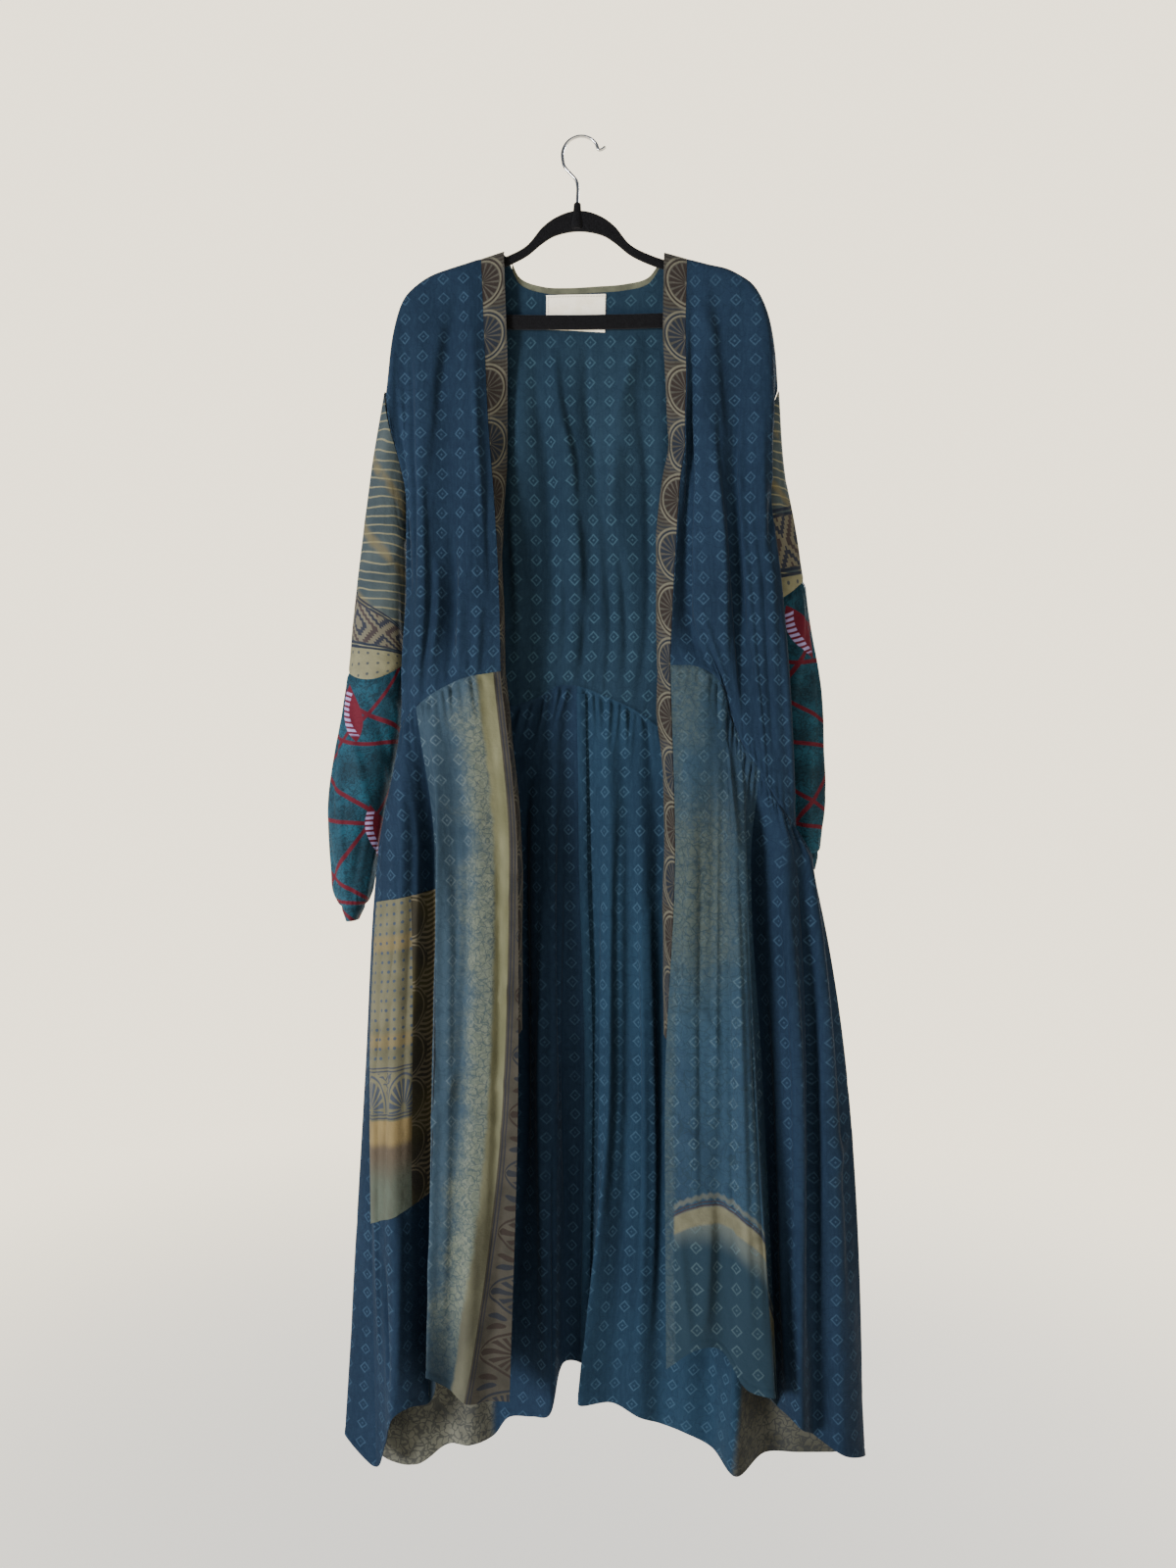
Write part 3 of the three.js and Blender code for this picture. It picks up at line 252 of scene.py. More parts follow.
# Soft creases laid on the panels: a column and height at each end, the half width,
# the height (a trough is negative) and how much wider the crease is on one side.
CREASES = {
    "bodice_front_l": [
        (1.6, -230, 1.2, -470, 5, 1.6, 0.4), (1.0, -300, 0.7, -560, 4, -1.2, 0.3),
        (2.6, -180, 4.6, -330, 9, -1.8, 0.2), (4.2, -220, 5.8, -420, 7, 1.2, -0.3),
        (7.2, -250, 6.9, -560, 4, -1.8, 0.4), (5.9, -420, 5.6, -690, 5, 1.6, -0.3),
        (4.5, -500, 4.2, -668, 5, 2.2, 0.3), (3.4, -470, 3.1, -660, 6, -2.4, 0),
        (2.6, -520, 2.4, -650, 4, 1.8, 0.2), (1.3, -560, 1.5, -645, 4, 1.4, 0),
        (8.4, -300, 7.4, -420, 6, 1.4, 0.3), (8.8, -440, 7.8, -560, 7, -1.6, 0.2),
        (8.6, -560, 8.4, -690, 5, 1.6, 0.2), (2.0, -330, 3.0, -350, 5, 0.7, 0),
    ],
    "bodice_front_r": [
        (45.5, -240, 45.7, -470, 4, 1.6, 0.3), (45.0, -300, 44.8, -640, 4, -1.8, -0.4),
        (44.3, -420, 44.2, -640, 5, 1.4, 0.2), (43.2, -180, 41.4, -360, 9, -1.6, 0.3),
        (42.9, -330, 42.6, -640, 6, 1.8, -0.5), (41.8, -430, 41.3, -690, 5, -1.4, 0.3),
        (40.2, -300, 40.0, -620, 4, 1.6, 0.4), (39.7, -480, 39.3, -770, 4, 1.2, -0.3),
        (38.9, -420, 38.6, -740, 5, -1.6, 0.2), (37.6, -330, 37.8, -640, 6, 1.3, 0),
        (37.0, -560, 36.9, -800, 5, 1.5, 0.3), (43.8, -560, 42.4, -690, 5, 1.2, 0),
        (36.2, -420, 38.4, -560, 8, -1.6, 0.2), (44.6, -215, 42.8, -260, 7, 0.9, 0),
    ],
    "bodice_back": [
        (20.2, -250, 21.4, -440, 6, -2.2, 0.5), (21.4, -440, 21.6, -560, 6, -1.8, 0.3),
        (22.3, -240, 22.9, -440, 5, 1.8, 0.4), (22.9, -440, 23.2, -600, 6, -1.4, 0),
        (25.8, -240, 24.6, -360, 6, -2.2, -0.4), (24.6, -360, 24.1, -470, 6, -2.2, -0.3),
        (19.0, -260, 18.9, -650, 6, 1.8, 0.2), (25.9, -300, 26.0, -690, 6, 1.6, -0.2),
        (24.9, -480, 25.2, -660, 5, 1.4, 0), (20.4, -480, 20.2, -640, 5, 1.5, 0),
        (22.0, -560, 22.1, -650, 5, 1.6, 0), (23.8, -520, 24.0, -660, 4, 1.2, 0),
        (12.6, -240, 14.2, -560, 9, -2.2, 0.3), (14.4, -230, 13.2, -520, 8, 1.8, 0.2),
        (16.4, -300, 16.0, -620, 8, 2.0, 0.2), (28.0, -260, 28.6, -640, 8, 2.0, 0.2),
        (30.6, -230, 29.0, -520, 9, -2.2, 0.2), (31.6, -300, 32.2, -620, 8, 1.8, 0),
        (17.4, -420, 17.8, -640, 6, -1.6, 0), (27.0, -430, 26.8, -640, 6, -1.4, 0),
    ],
    "skirt_front_l": [
        (0.7, -720, 0.6, -1180, 5, 1.4, 0.4), (1.3, -820, 1.5, -1380, 7, 1.6, -0.3),
        (2.6, -760, 2.7, -1240, 6, -1.5, 0.4), (3.4, -860, 3.3, -1420, 7, 1.8, 0.3),
        (4.4, -900, 4.3, -1400, 5, -1.2, 0.2), (0.5, -1180, 0.9, -1450, 5, -1.2, 0),
        (1.9, -1260, 2.2, -1480, 6, 1.6, 0.2), (0.2, -900, 1.1, -930, 4, 0.8, 0),
        (0.1, -1010, 1.0, -1035, 4, 0.9, 0), (0.2, -1118, 1.2, -1128, 4, 0.9, 0),
        (0.1, -1190, 1.4, -1165, 4, 0.9, 0), (2.2, -1080, 4.0, -1180, 5, 0.8, 0),
    ],
    "skirt_side_l": [
        (7.4, -760, 7.3, -1240, 5, 1.6, 0.3), (8.6, -800, 8.7, -1320, 6, -1.4, 0.3),
        (9.3, -900, 9.4, -1480, 6, 1.6, -0.3), (7.9, -960, 9.2, -1160, 4, 1.4, 0.3),
        (7.6, -1280, 7.8, -1500, 6, 1.6, 0), (8.8, -1340, 8.4, -1500, 6, -1.6, 0.2),
    ],
    "skirt_back_l": [
        (11.2, -820, 11.4, -1440, 7, 2.0, 0.3), (12.5, -900, 12.4, -1500, 7, -1.8, 0.2),
        (13.4, -780, 13.2, -1200, 8, 1.8, 0.2), (14.5, -900, 14.7, -1560, 8, 2.0, 0),
        (15.6, -800, 15.4, -1340, 7, -1.8, 0.3), (16.5, -1000, 16.6, -1560, 7, 1.8, 0),
        (17.6, -860, 17.7, -1400, 6, -1.6, 0), (18.6, -760, 18.5, -1280, 6, 1.4, 0.3),
        (19.4, -900, 19.6, -1500, 5, -1.4, 0), (20.6, -780, 20.7, -1180, 5, 1.6, 0.3),
        (21.3, -860, 21.2, -1440, 4, 1.4, 0), (19.9, -1180, 20.2, -1520, 5, 1.8, 0),
    ],
    "skirt_back_r": [
        (22.6, -720, 22.8, -1100, 4, 1.4, 0.3), (23.4, -900, 23.3, -1400, 5, -1.6, 0),
        (24.6, -800, 24.5, -1300, 5, 1.4, 0.3), (25.5, -860, 25.6, -1500, 6, 1.8, 0.3),
        (26.4, -900, 26.4, -1460, 5, -1.4, 0), (27.4, -820, 27.6, -1500, 7, 1.8, 0),
        (28.5, -900, 28.6, -1400, 7, -1.8, 0.2), (29.5, -860, 29.6, -1560, 7, 1.8, 0.2),
        (30.6, -1000, 30.4, -1560, 7, 1.6, 0), (31.6, -900, 31.7, -1540, 8, 2.0, 0.3),
        (32.5, -960, 32.6, -1500, 8, -1.8, 0), (33.4, -900, 33.5, -1460, 7, 1.6, 0.2),
    ],
    "skirt_side_r": [
        (34.8, -900, 34.9, -1500, 6, 1.8, 0.3), (35.6, -860, 35.6, -1400, 7, -2.0, 0.3),
        (36.5, -880, 36.7, -1500, 6, 1.8, 0.2), (37.3, -860, 37.4, -1440, 5, -2.4, 0.4),
        (38.0, -900, 38.1, -1500, 5, 1.8, 0.2), (38.7, -860, 38.8, -1380, 5, -1.4, 0),
        (39.3, -1000, 39.2, -1480, 4, 1.4, 0.2), (35.2, -1180, 36.4, -1240, 7, 1.2, 0),
    ],
    "skirt_front_r": [
        (45.4, -720, 45.5, -1160, 5, 1.6, 0.3), (44.9, -800, 44.8, -1280, 5, -1.6, 0.2),
        (44.2, -720, 44.3, -1200, 6, 1.6, 0.3), (43.5, -860, 43.4, -1380, 6, -1.2, 0),
        (42.9, -820, 42.8, -1420, 5, 1.6, -0.3), (42.2, -900, 42.1, -1420, 5, -1.4, 0.2),
        (45.6, -1260, 45.3, -1420, 5, 1.6, 0), (44.4, -1240, 44.7, -1400, 6, 1.8, 0),
        (45.2, -1010, 43.9, -1090, 5, 0.9, 0), (43.9, -1230, 42.6, -1330, 6, 1.2, 0),
        (45.9, -1150, 45.0, -1185, 4, 0.9, 0), (43.4, -720, 42.6, -860, 5, 1.8, 0.3),
    ],
}
# Creases on the sleeves: round place (-0.5 to 0.5, 0 at the front) and place along, in
# sections, at each end, then half width, height and skew as above.
SLEEVE_CREASES = {
    "l": [(-0.28, 0.5, -0.02, 2.0, 6, 2.0, 0.3), (0.10, 0.6, 0.02, 2.9, 5, 1.2, 0.3),
          (-0.15, 1.4, -0.20, 3.6, 5, -2.2, 0.3), (0.20, 1.0, 0.16, 3.4, 5, -1.6, 0),
          (-0.06, 2.5, 0.12, 3.7, 5, 1.4, 0), (-0.35, 1.0, -0.30, 3.6, 7, 2.4, 0),
          (0.18, 4.1, -0.12, 6.2, 5, 3.2, 0.5), (0.05, 4.1, -0.24, 5.8, 5, -2.6, 0.3),
          (-0.05, 4.2, -0.20, 4.9, 4, 2.0, 0), (0.25, 4.2, 0.10, 6.4, 6, -2.6, 0.3),
          (0.08, 5.4, 0.02, 8.4, 5, 2.4, 0.4), (-0.10, 6.2, -0.03, 8.6, 5, -2.4, 0.2),
          (0.20, 6.2, 0.10, 8.6, 5, -2.0, 0), (-0.22, 6.0, -0.16, 8.6, 5, 2.0, 0),
          (0.36, 1.0, 0.42, 3.6, 7, -2.0, 0), (0.40, 4.2, 0.38, 8.4, 7, 2.6, 0),
          (-0.42, 4.2, -0.36, 8.4, 7, -2.4, 0)],
    "r": [(0.20, 0.5, 0.02, 2.2, 6, 1.8, 0.3), (-0.12, 0.6, -0.06, 2.6, 5, -1.8, 0.2),
          (0.05, 1.4, 0.10, 2.7, 5, 1.6, 0), (-0.22, 1.2, -0.20, 2.7, 6, 2.0, 0),
          (0.30, 1.0, 0.32, 2.7, 7, -2.2, 0), (-0.36, 0.9, -0.42, 2.7, 7, 2.0, 0),
          (-0.16, 3.1, 0.06, 5.2, 5, 2.8, 0.4), (0.02, 3.1, 0.20, 5.0, 5, -2.4, 0),
          (-0.20, 3.4, -0.12, 7.6, 6, -2.2, 0.3), (-0.05, 5.6, 0.00, 8.5, 5, 2.2, 0.3),
          (0.12, 6.0, 0.08, 8.6, 5, -2.2, 0), (-0.28, 6.0, -0.22, 8.5, 6, 2.2, 0),
          (0.40, 3.2, 0.38, 8.4, 7, 2.6, 0), (-0.42, 3.2, -0.38, 8.4, 7, -2.4, 0)],
}


# ---------------------------------------------------------------- curves
def named(columns, rows):
    table = np.array(rows, float)
    return {name: table[:, i] for i, name in enumerate(columns.split())}


def points(table, *names):
    return np.stack([table[name] for name in names], -1)


def curve_at(line, places):
    """Centripetal Catmull-Rom curve through line[n, ..., 3] at places counted in points."""
    places = np.atleast_1d(np.asarray(places, float))
    last = len(line) - 1
    i = np.clip(np.floor(places).astype(int), 0, last - 1)
    fit = (slice(None),) + (None,) * (line.ndim - 1)
    p1, p2 = line[i], line[i + 1]
    p0 = np.where((i > 0)[fit], line[np.maximum(i - 1, 0)], 2 * p1 - p2)
    p3 = np.where((i + 2 <= last)[fit], line[np.minimum(i + 2, last)], 2 * p2 - p1)

    def gap(a, b):
        size = np.sqrt(np.linalg.norm(b - a, axis=-1, keepdims=True))
        return np.where(size == 0, 1, size)

    k1 = gap(p0, p1)
    k2 = k1 + gap(p1, p2)
    k3 = k2 + gap(p2, p3)
    k = k1 + (k2 - k1) * (places - i)[fit]

    def mix(a, b, ka, kb):
        return a + (b - a) * (k - ka) / (kb - ka)

    a1, a2, a3 = mix(p0, p1, 0, k1), mix(p1, p2, k1, k2), mix(p2, p3, k2, k3)
    return mix(mix(a1, a2, 0, k2), mix(a2, a3, k1, k3), k1, k2)


def knots_at(heights, values, z):
    """Smooth values at z[m, r] through falling knots heights[k, m], values[k, m]."""
    slope = (values[1:] - values[:-1]) / (heights[1:] - heights[:-1])
    product = slope[:-1] * slope[1:]
    total = slope[:-1] + slope[1:]
    inner = np.where(product > 0, 2 * product / np.where(total == 0, 1, total), 0)
    tangent = np.concatenate([slope[:1], inner, slope[-1:]])
    i = sum((z < level[:, None]).astype(int) for level in heights[1:-1])

    def pick(table, offset):
        return np.take_along_axis(table.T, i + offset, axis=1)

    span = pick(heights, 1) - pick(heights, 0)
    u = (z - pick(heights, 0)) / span
    h = u * u * (3 - 2 * u)
    return (pick(values, 0) * (1 - h) + pick(values, 1) * h
            + pick(tangent, 0) * span * u * (1 - u) ** 2
            - pick(tangent, 1) * span * u * u * (1 - u))


def plan_at(heights, lines, z):
    """Plan positions x and y at z[m, r], through one line of points for each height."""
    return [knots_at(heights, np.stack([line[:, i] for line in lines]), z) for i in (0, 1)]


SKIRT = named(SKIRT_COLUMNS, SKIRT_FOLDS)
WAIST_LINE = points(SKIRT, "waist_x", "waist_y", "waist_z")
HIP_LINE = points(SKIRT, "hip_x", "hip_y")
KNEE_LINE = points(SKIRT, "knee_x", "knee_y")
HEM_LINE = points(SKIRT, "hem_x", "hem_y", "hem_z")


def skirt_surface(columns, drops):
    """Skirt points by column and drop, 0 at the waist seam and 1 at the hem."""
    waist, hip = curve_at(WAIST_LINE, columns), curve_at(HIP_LINE, columns)
    knee, hem = curve_at(KNEE_LINE, columns), curve_at(HEM_LINE, columns)
    drops = np.broadcast_to(drops, (len(columns), np.shape(drops)[-1]))
    z = waist[:, 2:] + (hem[:, 2:] - waist[:, 2:]) * drops
    level = np.ones(len(columns))
    heights = np.stack([waist[:, 2], HIP * level, KNEE * level, hem[:, 2]])
    return np.stack([*plan_at(heights, (waist, hip, knee, hem), z), z], -1)


def rolled(shoulder, x, z):
    """0 on the shoulder line, rising to 1 where the cloth hangs clear of the hanger's arm."""
    a, b = shoulder[:-1], shoulder[1:]
    way = b - a
    dx, dz = x[..., None] - a[:, 0], z[..., None] - a[:, 1]
    u = np.clip((dx * way[:, 0] + dz * way[:, 1]) / (way ** 2).sum(-1), 0, 1)
    nearest = np.hypot(dx - way[:, 0] * u, dz - way[:, 1] * u).min(-1)
    t = np.minimum(1, nearest / ROLL)
    return np.sqrt(1 - (1 - t) ** 2)


def shoulder_line(rows, neck):
    top = points(named(BODICE_COLUMNS, rows), "top_x", "top_z")
    line = curve_at(top, np.arange(0, len(top) - 0.99, 0.125))
    return np.vstack([[neck], line]) if neck[0] < 0 else np.vstack([line, [neck]])


def bodice_surface(rows, shoulder, columns, drops):
    """Bodice points by column and drop, 0 at the shoulder and 1 at the waist seam."""
    folds = named(BODICE_COLUMNS, rows)
    places = np.interp(columns, folds["column"], np.arange(len(rows)))
    top, chest, under, low = (
        curve_at(points(folds, a, b), places) for a, b in (
            ("top_x", "top_z"), ("chest_x", "chest_y"), ("under_x", "under_y"),
            ("low_x", "low_y")))
    waist = curve_at(WAIST_LINE, columns)
    z = top[:, 1:] + (waist[:, 2:] - top[:, 1:]) * np.asarray(drops)[None]
    level = np.ones(len(columns))
    heights = np.stack([top[:, 1], CHEST * level, UNDERARM * level, LOW * level, waist[:, 2]])
    clear = np.stack([top[:, 0], np.sign(chest[:, 1]) * (ROLL + 1)], -1)
    x, y = plan_at(heights, (clear, chest, under, low, waist), z)
    return np.stack([x, y * rolled(shoulder, x, z), z], -1)


SHOULDER_L = shoulder_line(FRONT_L_FOLDS, (-93, -142))
SHOULDER_R = shoulder_line(FRONT_R_FOLDS, (104, -150))


def front_l(columns, drops):
    return bodice_surface(FRONT_L_FOLDS, SHOULDER_L, columns, drops)


def front_r(columns, drops):
    return bodice_surface(FRONT_R_FOLDS, SHOULDER_R, columns, drops)


def back(columns, drops):
    left = bodice_surface(BACK_FOLDS, SHOULDER_L, columns, drops)
    right = bodice_surface(BACK_FOLDS, SHOULDER_R, columns, drops)
    return np.where((np.asarray(columns) < CENTRE_BACK)[:, None, None], left, right)


# ---------------------------------------------------------------- grids of cloth
def unit(vectors):
    size = np.linalg.norm(vectors, axis=-1, keepdims=True)
    return vectors / np.where(size == 0, 1, size)


def normals_of(grid, ring=False):
    """Outward normals of a grid, i across (columns) and j down."""
    if ring:
        across = np.roll(grid, -1, 0) - np.roll(grid, 1, 0)
    else:
        across = np.gradient(grid, axis=0)
    return unit(np.cross(across, np.gradient(grid, axis=1)))


def lengths(grid, axis):
    """Cumulative length along an axis of a grid, starting at zero."""
    step = np.linalg.norm(np.diff(grid, axis=axis), axis=-1)
    start = np.zeros_like(np.take(step, [0], axis=axis))
    return np.concatenate([start, np.cumsum(step, axis=axis)], axis=axis)


def crease_field(u, v, creases, fade=None):
    """Height of soft creases given by their ends in u and v, half width, height and skew."""
    total = np.zeros(u.shape)
    for u0, v0, u1, v1, width, height, skew in creases:
        du, dv = u1 - u0, v1 - v0
        length = math.hypot(du, dv)
        t = np.clip(((u - u0) * du + (v - v0) * dv) / length ** 2, 0, 1)
        side = ((u - u0) * dv - (v - v0) * du) / length
        away = np.hypot(u - u0 - t * du, v - v0 - t * dv)
        wide = width * (1 + skew * np.tanh(side / width))
        ends = np.sin(math.pi * t) ** 0.7 if fade is None else fade(t, length)
        total += height * ends * np.exp(-((away / wide) ** 2))
    return total


def gather_fade(t, length):
    """Gathers start at their seam and run out along the cloth."""
    return np.minimum(1, 0.25 + t * length / 5) * (1 - t) ** 1.4


def nearest(values, value):
    return int(np.argmin(np.abs(values - value)))


def nearest_place(grid, columns, column, z):
    i = nearest(columns, column)
    return i, nearest(grid[i, :, 2], z)


def panel_creases(grid, columns, across, name):
    """The listed creases of a panel, with their ends turned into lengths on the cloth."""
    rows = []
    for column_a, z_a, column_b, z_b, width, height, skew in CREASES[name]:
        i, j = nearest_place(grid, columns, column_a, z_a)
        k, m = nearest_place(grid, columns, column_b, z_b)
        rows.append((across[i, j], grid[i, j, 2], across[k, m], grid[k, m, 2],
                     width * FOLD_WIDTH, height * FOLD_DEPTH, skew))
    return crease_field(across, grid[..., 2], rows)


def gathers(across, z, row, spacing, reach, depth, seed, way=-1):
    """Small uneven pleats that run from a seam along the cloth."""
    rng = np.random.default_rng(seed)
    rows = []
    place = spacing * 0.4
    width = across[-1, row]
    while place < width:
        i = nearest(across[:, row], place)
        run = reach * rng.uniform(0.35, 1.25)
        lean = rng.uniform(-0.10, 0.10) * run
        rows.append((place, z[i, row], place + lean, z[i, row] + way * run,
                     spacing * rng.uniform(0.2, 0.32), depth * rng.uniform(0.5, 1.2),
                     rng.uniform(-0.4, 0.4)))
        place += spacing * rng.uniform(0.65, 1.35)
    return crease_field(across, z, rows, gather_fade)


def small_wrinkles(across, z, count, seed, height=0.55):
    """Fine uneven wrinkles scattered over a panel, mostly upright."""
    rng = np.random.default_rng(seed)
    rows = []
    for _ in range(count):
        u = rng.uniform(across.min(), across.max())
        v = rng.uniform(z.min(), z.max())
        angle = rng.normal(0, 0.45)
        run = rng.uniform(35, 120)
        rows.append((u, v, u + run * math.sin(angle), v - run * math.cos(angle),
                     rng.uniform(2.5, 5), height * rng.choice([-1, 1]) * rng.uniform(0.4, 1),
                     rng.uniform(-0.4, 0.4)))
    return crease_field(across, z, rows)


def seam_dent(distance, depth, width=2.6):
    return -depth * np.exp(-((distance / width) ** 2))


# ---------------------------------------------------------------- meshes
pieces = {}


def placed(name, data):
    """A new object in the scene."""
    obj = bpy.data.objects.new(name, data)
    bpy.context.scene.collection.objects.link(obj)
    return obj


def shell(name, grid, normals, uv, thickness=CLOTH, ring=False):
    """Builds a closed thin shell on a grid: slot 0 outside and on the rims, 1 inside."""
    across, down = grid.shape[:2]
    solid = np.concatenate([(grid + normals * thickness * side).reshape(-1, 3)
                            for side in (0.5, -0.5)])
    solid[:, 2] += LIFT
    count = across * down
    i, j = np.meshgrid(np.arange(across if ring else across - 1), np.arange(down - 1),
                       indexing="ij")
    i, j = i.ravel(), j.ravel()

    def at(a, b):
        return (a % across) * down + b

    outer = np.stack([at(i, j), at(i + 1, j), at(i + 1, j + 1), at(i, j + 1)], 1)
    place = np.stack([a * down + b for a, b in
                      ((i, j), (i + 1, j), (i + 1, j + 1), (i, j + 1))], 1)
    inner = outer[:, ::-1] + count
    faces, places = [outer, inner], [place, place[:, ::-1]]

    def rim(a0, b0, a1, b1):
        first, second = at(a0, b0), at(a1, b1)
        faces.append(np.stack([first, first + count, second + count, second], 1))
        p, q = a0 * down + b0, a1 * down + b1
        places.append(np.stack([p, p, q, q], 1))

    k = np.arange(across if ring else across - 1)
    top, foot = 0 * k, 0 * k + down - 1
    rim(k, top, k + 1, top)
    rim(k + 1, foot, k, foot)
    if not ring:
        k = np.arange(down - 1)
        first, last = 0 * k, 0 * k + across - 1
        rim(first, k + 1, first, k)
        rim(last, k, last, k + 1)
    mesh = bpy.data.meshes.new(name)
    mesh.from_pydata((solid * MM).tolist(), [], np.concatenate(faces).tolist())
    layer = mesh.uv_layers.new(name="cloth")
    flat = uv.reshape(-1, 2)[np.concatenate(places).ravel()] * MM
    layer.data.foreach_set("uv", flat.astype(np.float32).ravel())
    index = np.zeros(sum(len(f) for f in faces), np.int32)
    index[len(outer):2 * len(outer)] = 1
    mesh.polygons.foreach_set("material_index", index)
    mesh.polygons.foreach_set("use_smooth", np.ones(len(index), bool))
    mesh.set_sharp_from_angle(angle=math.radians(70))
    mesh.update()
    pieces[name] = placed(name + "_cloth", mesh)


def fine(start, end, step=STEP):
    """Evenly spaced places with both ends."""
    return np.linspace(start, end, int(round((end - start) / step)) + 1)


SKIRT_DROPS = np.concatenate([[0, 0.002, 0.004, 0.007], np.linspace(0.011, 0.13, 30),
                              np.linspace(0.14, 0.975, 96), [0.981, 0.985, 0.988, 0.9905,
                                                             0.993, 0.9955, 0.998, 1]])
BODICE_DROPS = np.concatenate([[0, 0.0006, 0.0016, 0.003, 0.005, 0.0075, 0.011, 0.015, 0.021],
                               np.linspace(0.03, 0.9, 86),
                               np.linspace(0.91, 0.99, 10), [0.994, 0.997, 1]])


def waist_outward(columns):
    """Level outward directions at the waist seam, shared by the cloth on both its sides."""
    waist = curve_at(WAIST_LINE, np.clip(np.stack([columns - 0.02, columns + 0.02]),
                                         EDGE_L, EDGE_R).ravel())
    across = waist[len(columns):] - waist[:len(columns)]
    across[:, 2] = 0
    return unit(np.cross(across, (0, 0, -1)))


def print_map(grid, home, seam):
    """Flat cloth coordinates: the width from a home column and the height below its seam."""
    across = lengths(grid * (1, 1, 0), 0)
    return np.stack([across - across[home], grid[home, seam, 2] - grid[..., 2]], -1)


def waist_normals(grid, columns, row):
    """Outward normals, with the row at the waist seam as on the other side of the seam."""
    normals = normals_of(grid)
    normals[:, row] = waist_outward(columns)
    return normals


def sewn_sides(height, across, sides, from_waist, still, reach, dent):
    """Calms the folds towards the sewn sides, given as true or false, and dents the seams."""
    for sewn, away in zip(sides, (across, across[-1:] - across)):
        if sewn:
            height = height * np.minimum(1, still + away / reach)
            height += seam_dent(away, dent) * np.minimum(1, from_waist / DENT_CALM)
    return height


def skirt_panel(name, first, last, home, seed, sides):
    """One skirt panel with its creases, gathers, seam dents and stitched hem."""
    columns = fine(first, last, SKIRT_STEP)
    grid = skirt_surface(columns, SKIRT_DROPS)
    printed = print_map(grid, home, 0)
    normals = waist_normals(grid, columns, 0)
    across, z = lengths(grid, 0), grid[..., 2]
    below = lengths(grid, 1)
    above_hem = below[:, -1:] - below
    height = panel_creases(grid, columns, across, name)
    height += gathers(across, z, 0, *SKIRT_GATHERS, seed)
    height += gathers(across, z, 0, *SKIRT_PLEATS, seed + 1)
    height += small_wrinkles(across, z, int(SKIRT_WRINKLES * (last - first) / 6), seed + 2, 0.9)
    height *= np.minimum(1, below / CALM)
    height = sewn_sides(height, across, sides, below, still=0.3, reach=12, dent=0.9)
    stitches = np.exp(-(((above_hem - HEM["width"]) / HEM["stitch_width"]) ** 2))
    height += seam_dent(below, WAIST_DENT) - HEM["stitch_depth"] * stitches
    height += HEM["height"] * (above_hem < HEM["width"])
    grid = grid + normals * height[..., None]
    shell(name, grid, waist_normals(grid, columns, 0), printed)
    return grid


def bodice_panel(name, surface, first, last, seed, on_shoulder):
    """One bodice panel, whose shoulder and side edges meet the next panel's."""
    columns = fine(first, last)
    grid = surface(columns, BODICE_DROPS)
    printed = print_map(grid, len(columns) // 2, -1)
    normals = waist_normals(grid, columns, -1)
    across, z = lengths(grid, 0), grid[..., 2]
    down = lengths(grid, 1)
    to_waist = down[:, -1:] - down
    height = panel_creases(grid, columns, across, name)
    height += gathers(across, z, -1, *BODICE_GATHERS, seed, way=1)
    height += small_wrinkles(across, z, int(BODICE_WRINKLES * (last - first) / 6), seed + 2)
    height *= np.minimum(1, down / 25) * np.minimum(1, to_waist / CALM)
    sides = [column in SIDE_OUTWARD for column in (first, last)]
    height = sewn_sides(height, across, sides, to_waist, still=0, reach=22, dent=0.7)
    height += seam_dent(to_waist, WAIST_DENT)
    grid = grid + normals * height[..., None]
    normals = waist_normals(grid, columns, -1)
    line = np.gradient(grid[:, 0], axis=0)
    over = unit(np.stack([-line[:, 2], 0 * line[:, 0], line[:, 0]], -1))
    over *= np.where(over[:, 2:] < 0, -1, 1)
    shared = on_shoulder(columns)
    normals[shared, 0] = over[shared]
    for i, column in ((0, first), (-1, last)):
        if column in SIDE_OUTWARD:
            level = np.array(SIDE_OUTWARD[column])
            open_share = np.clip((z[i] - UNDERARM) / ARMHOLE_FADE, 0, 1)[:, None]
            normals[i] = unit(level * (1 - open_share) + normals[i] * open_share)
    shell(name, grid, normals, printed)
    return grid


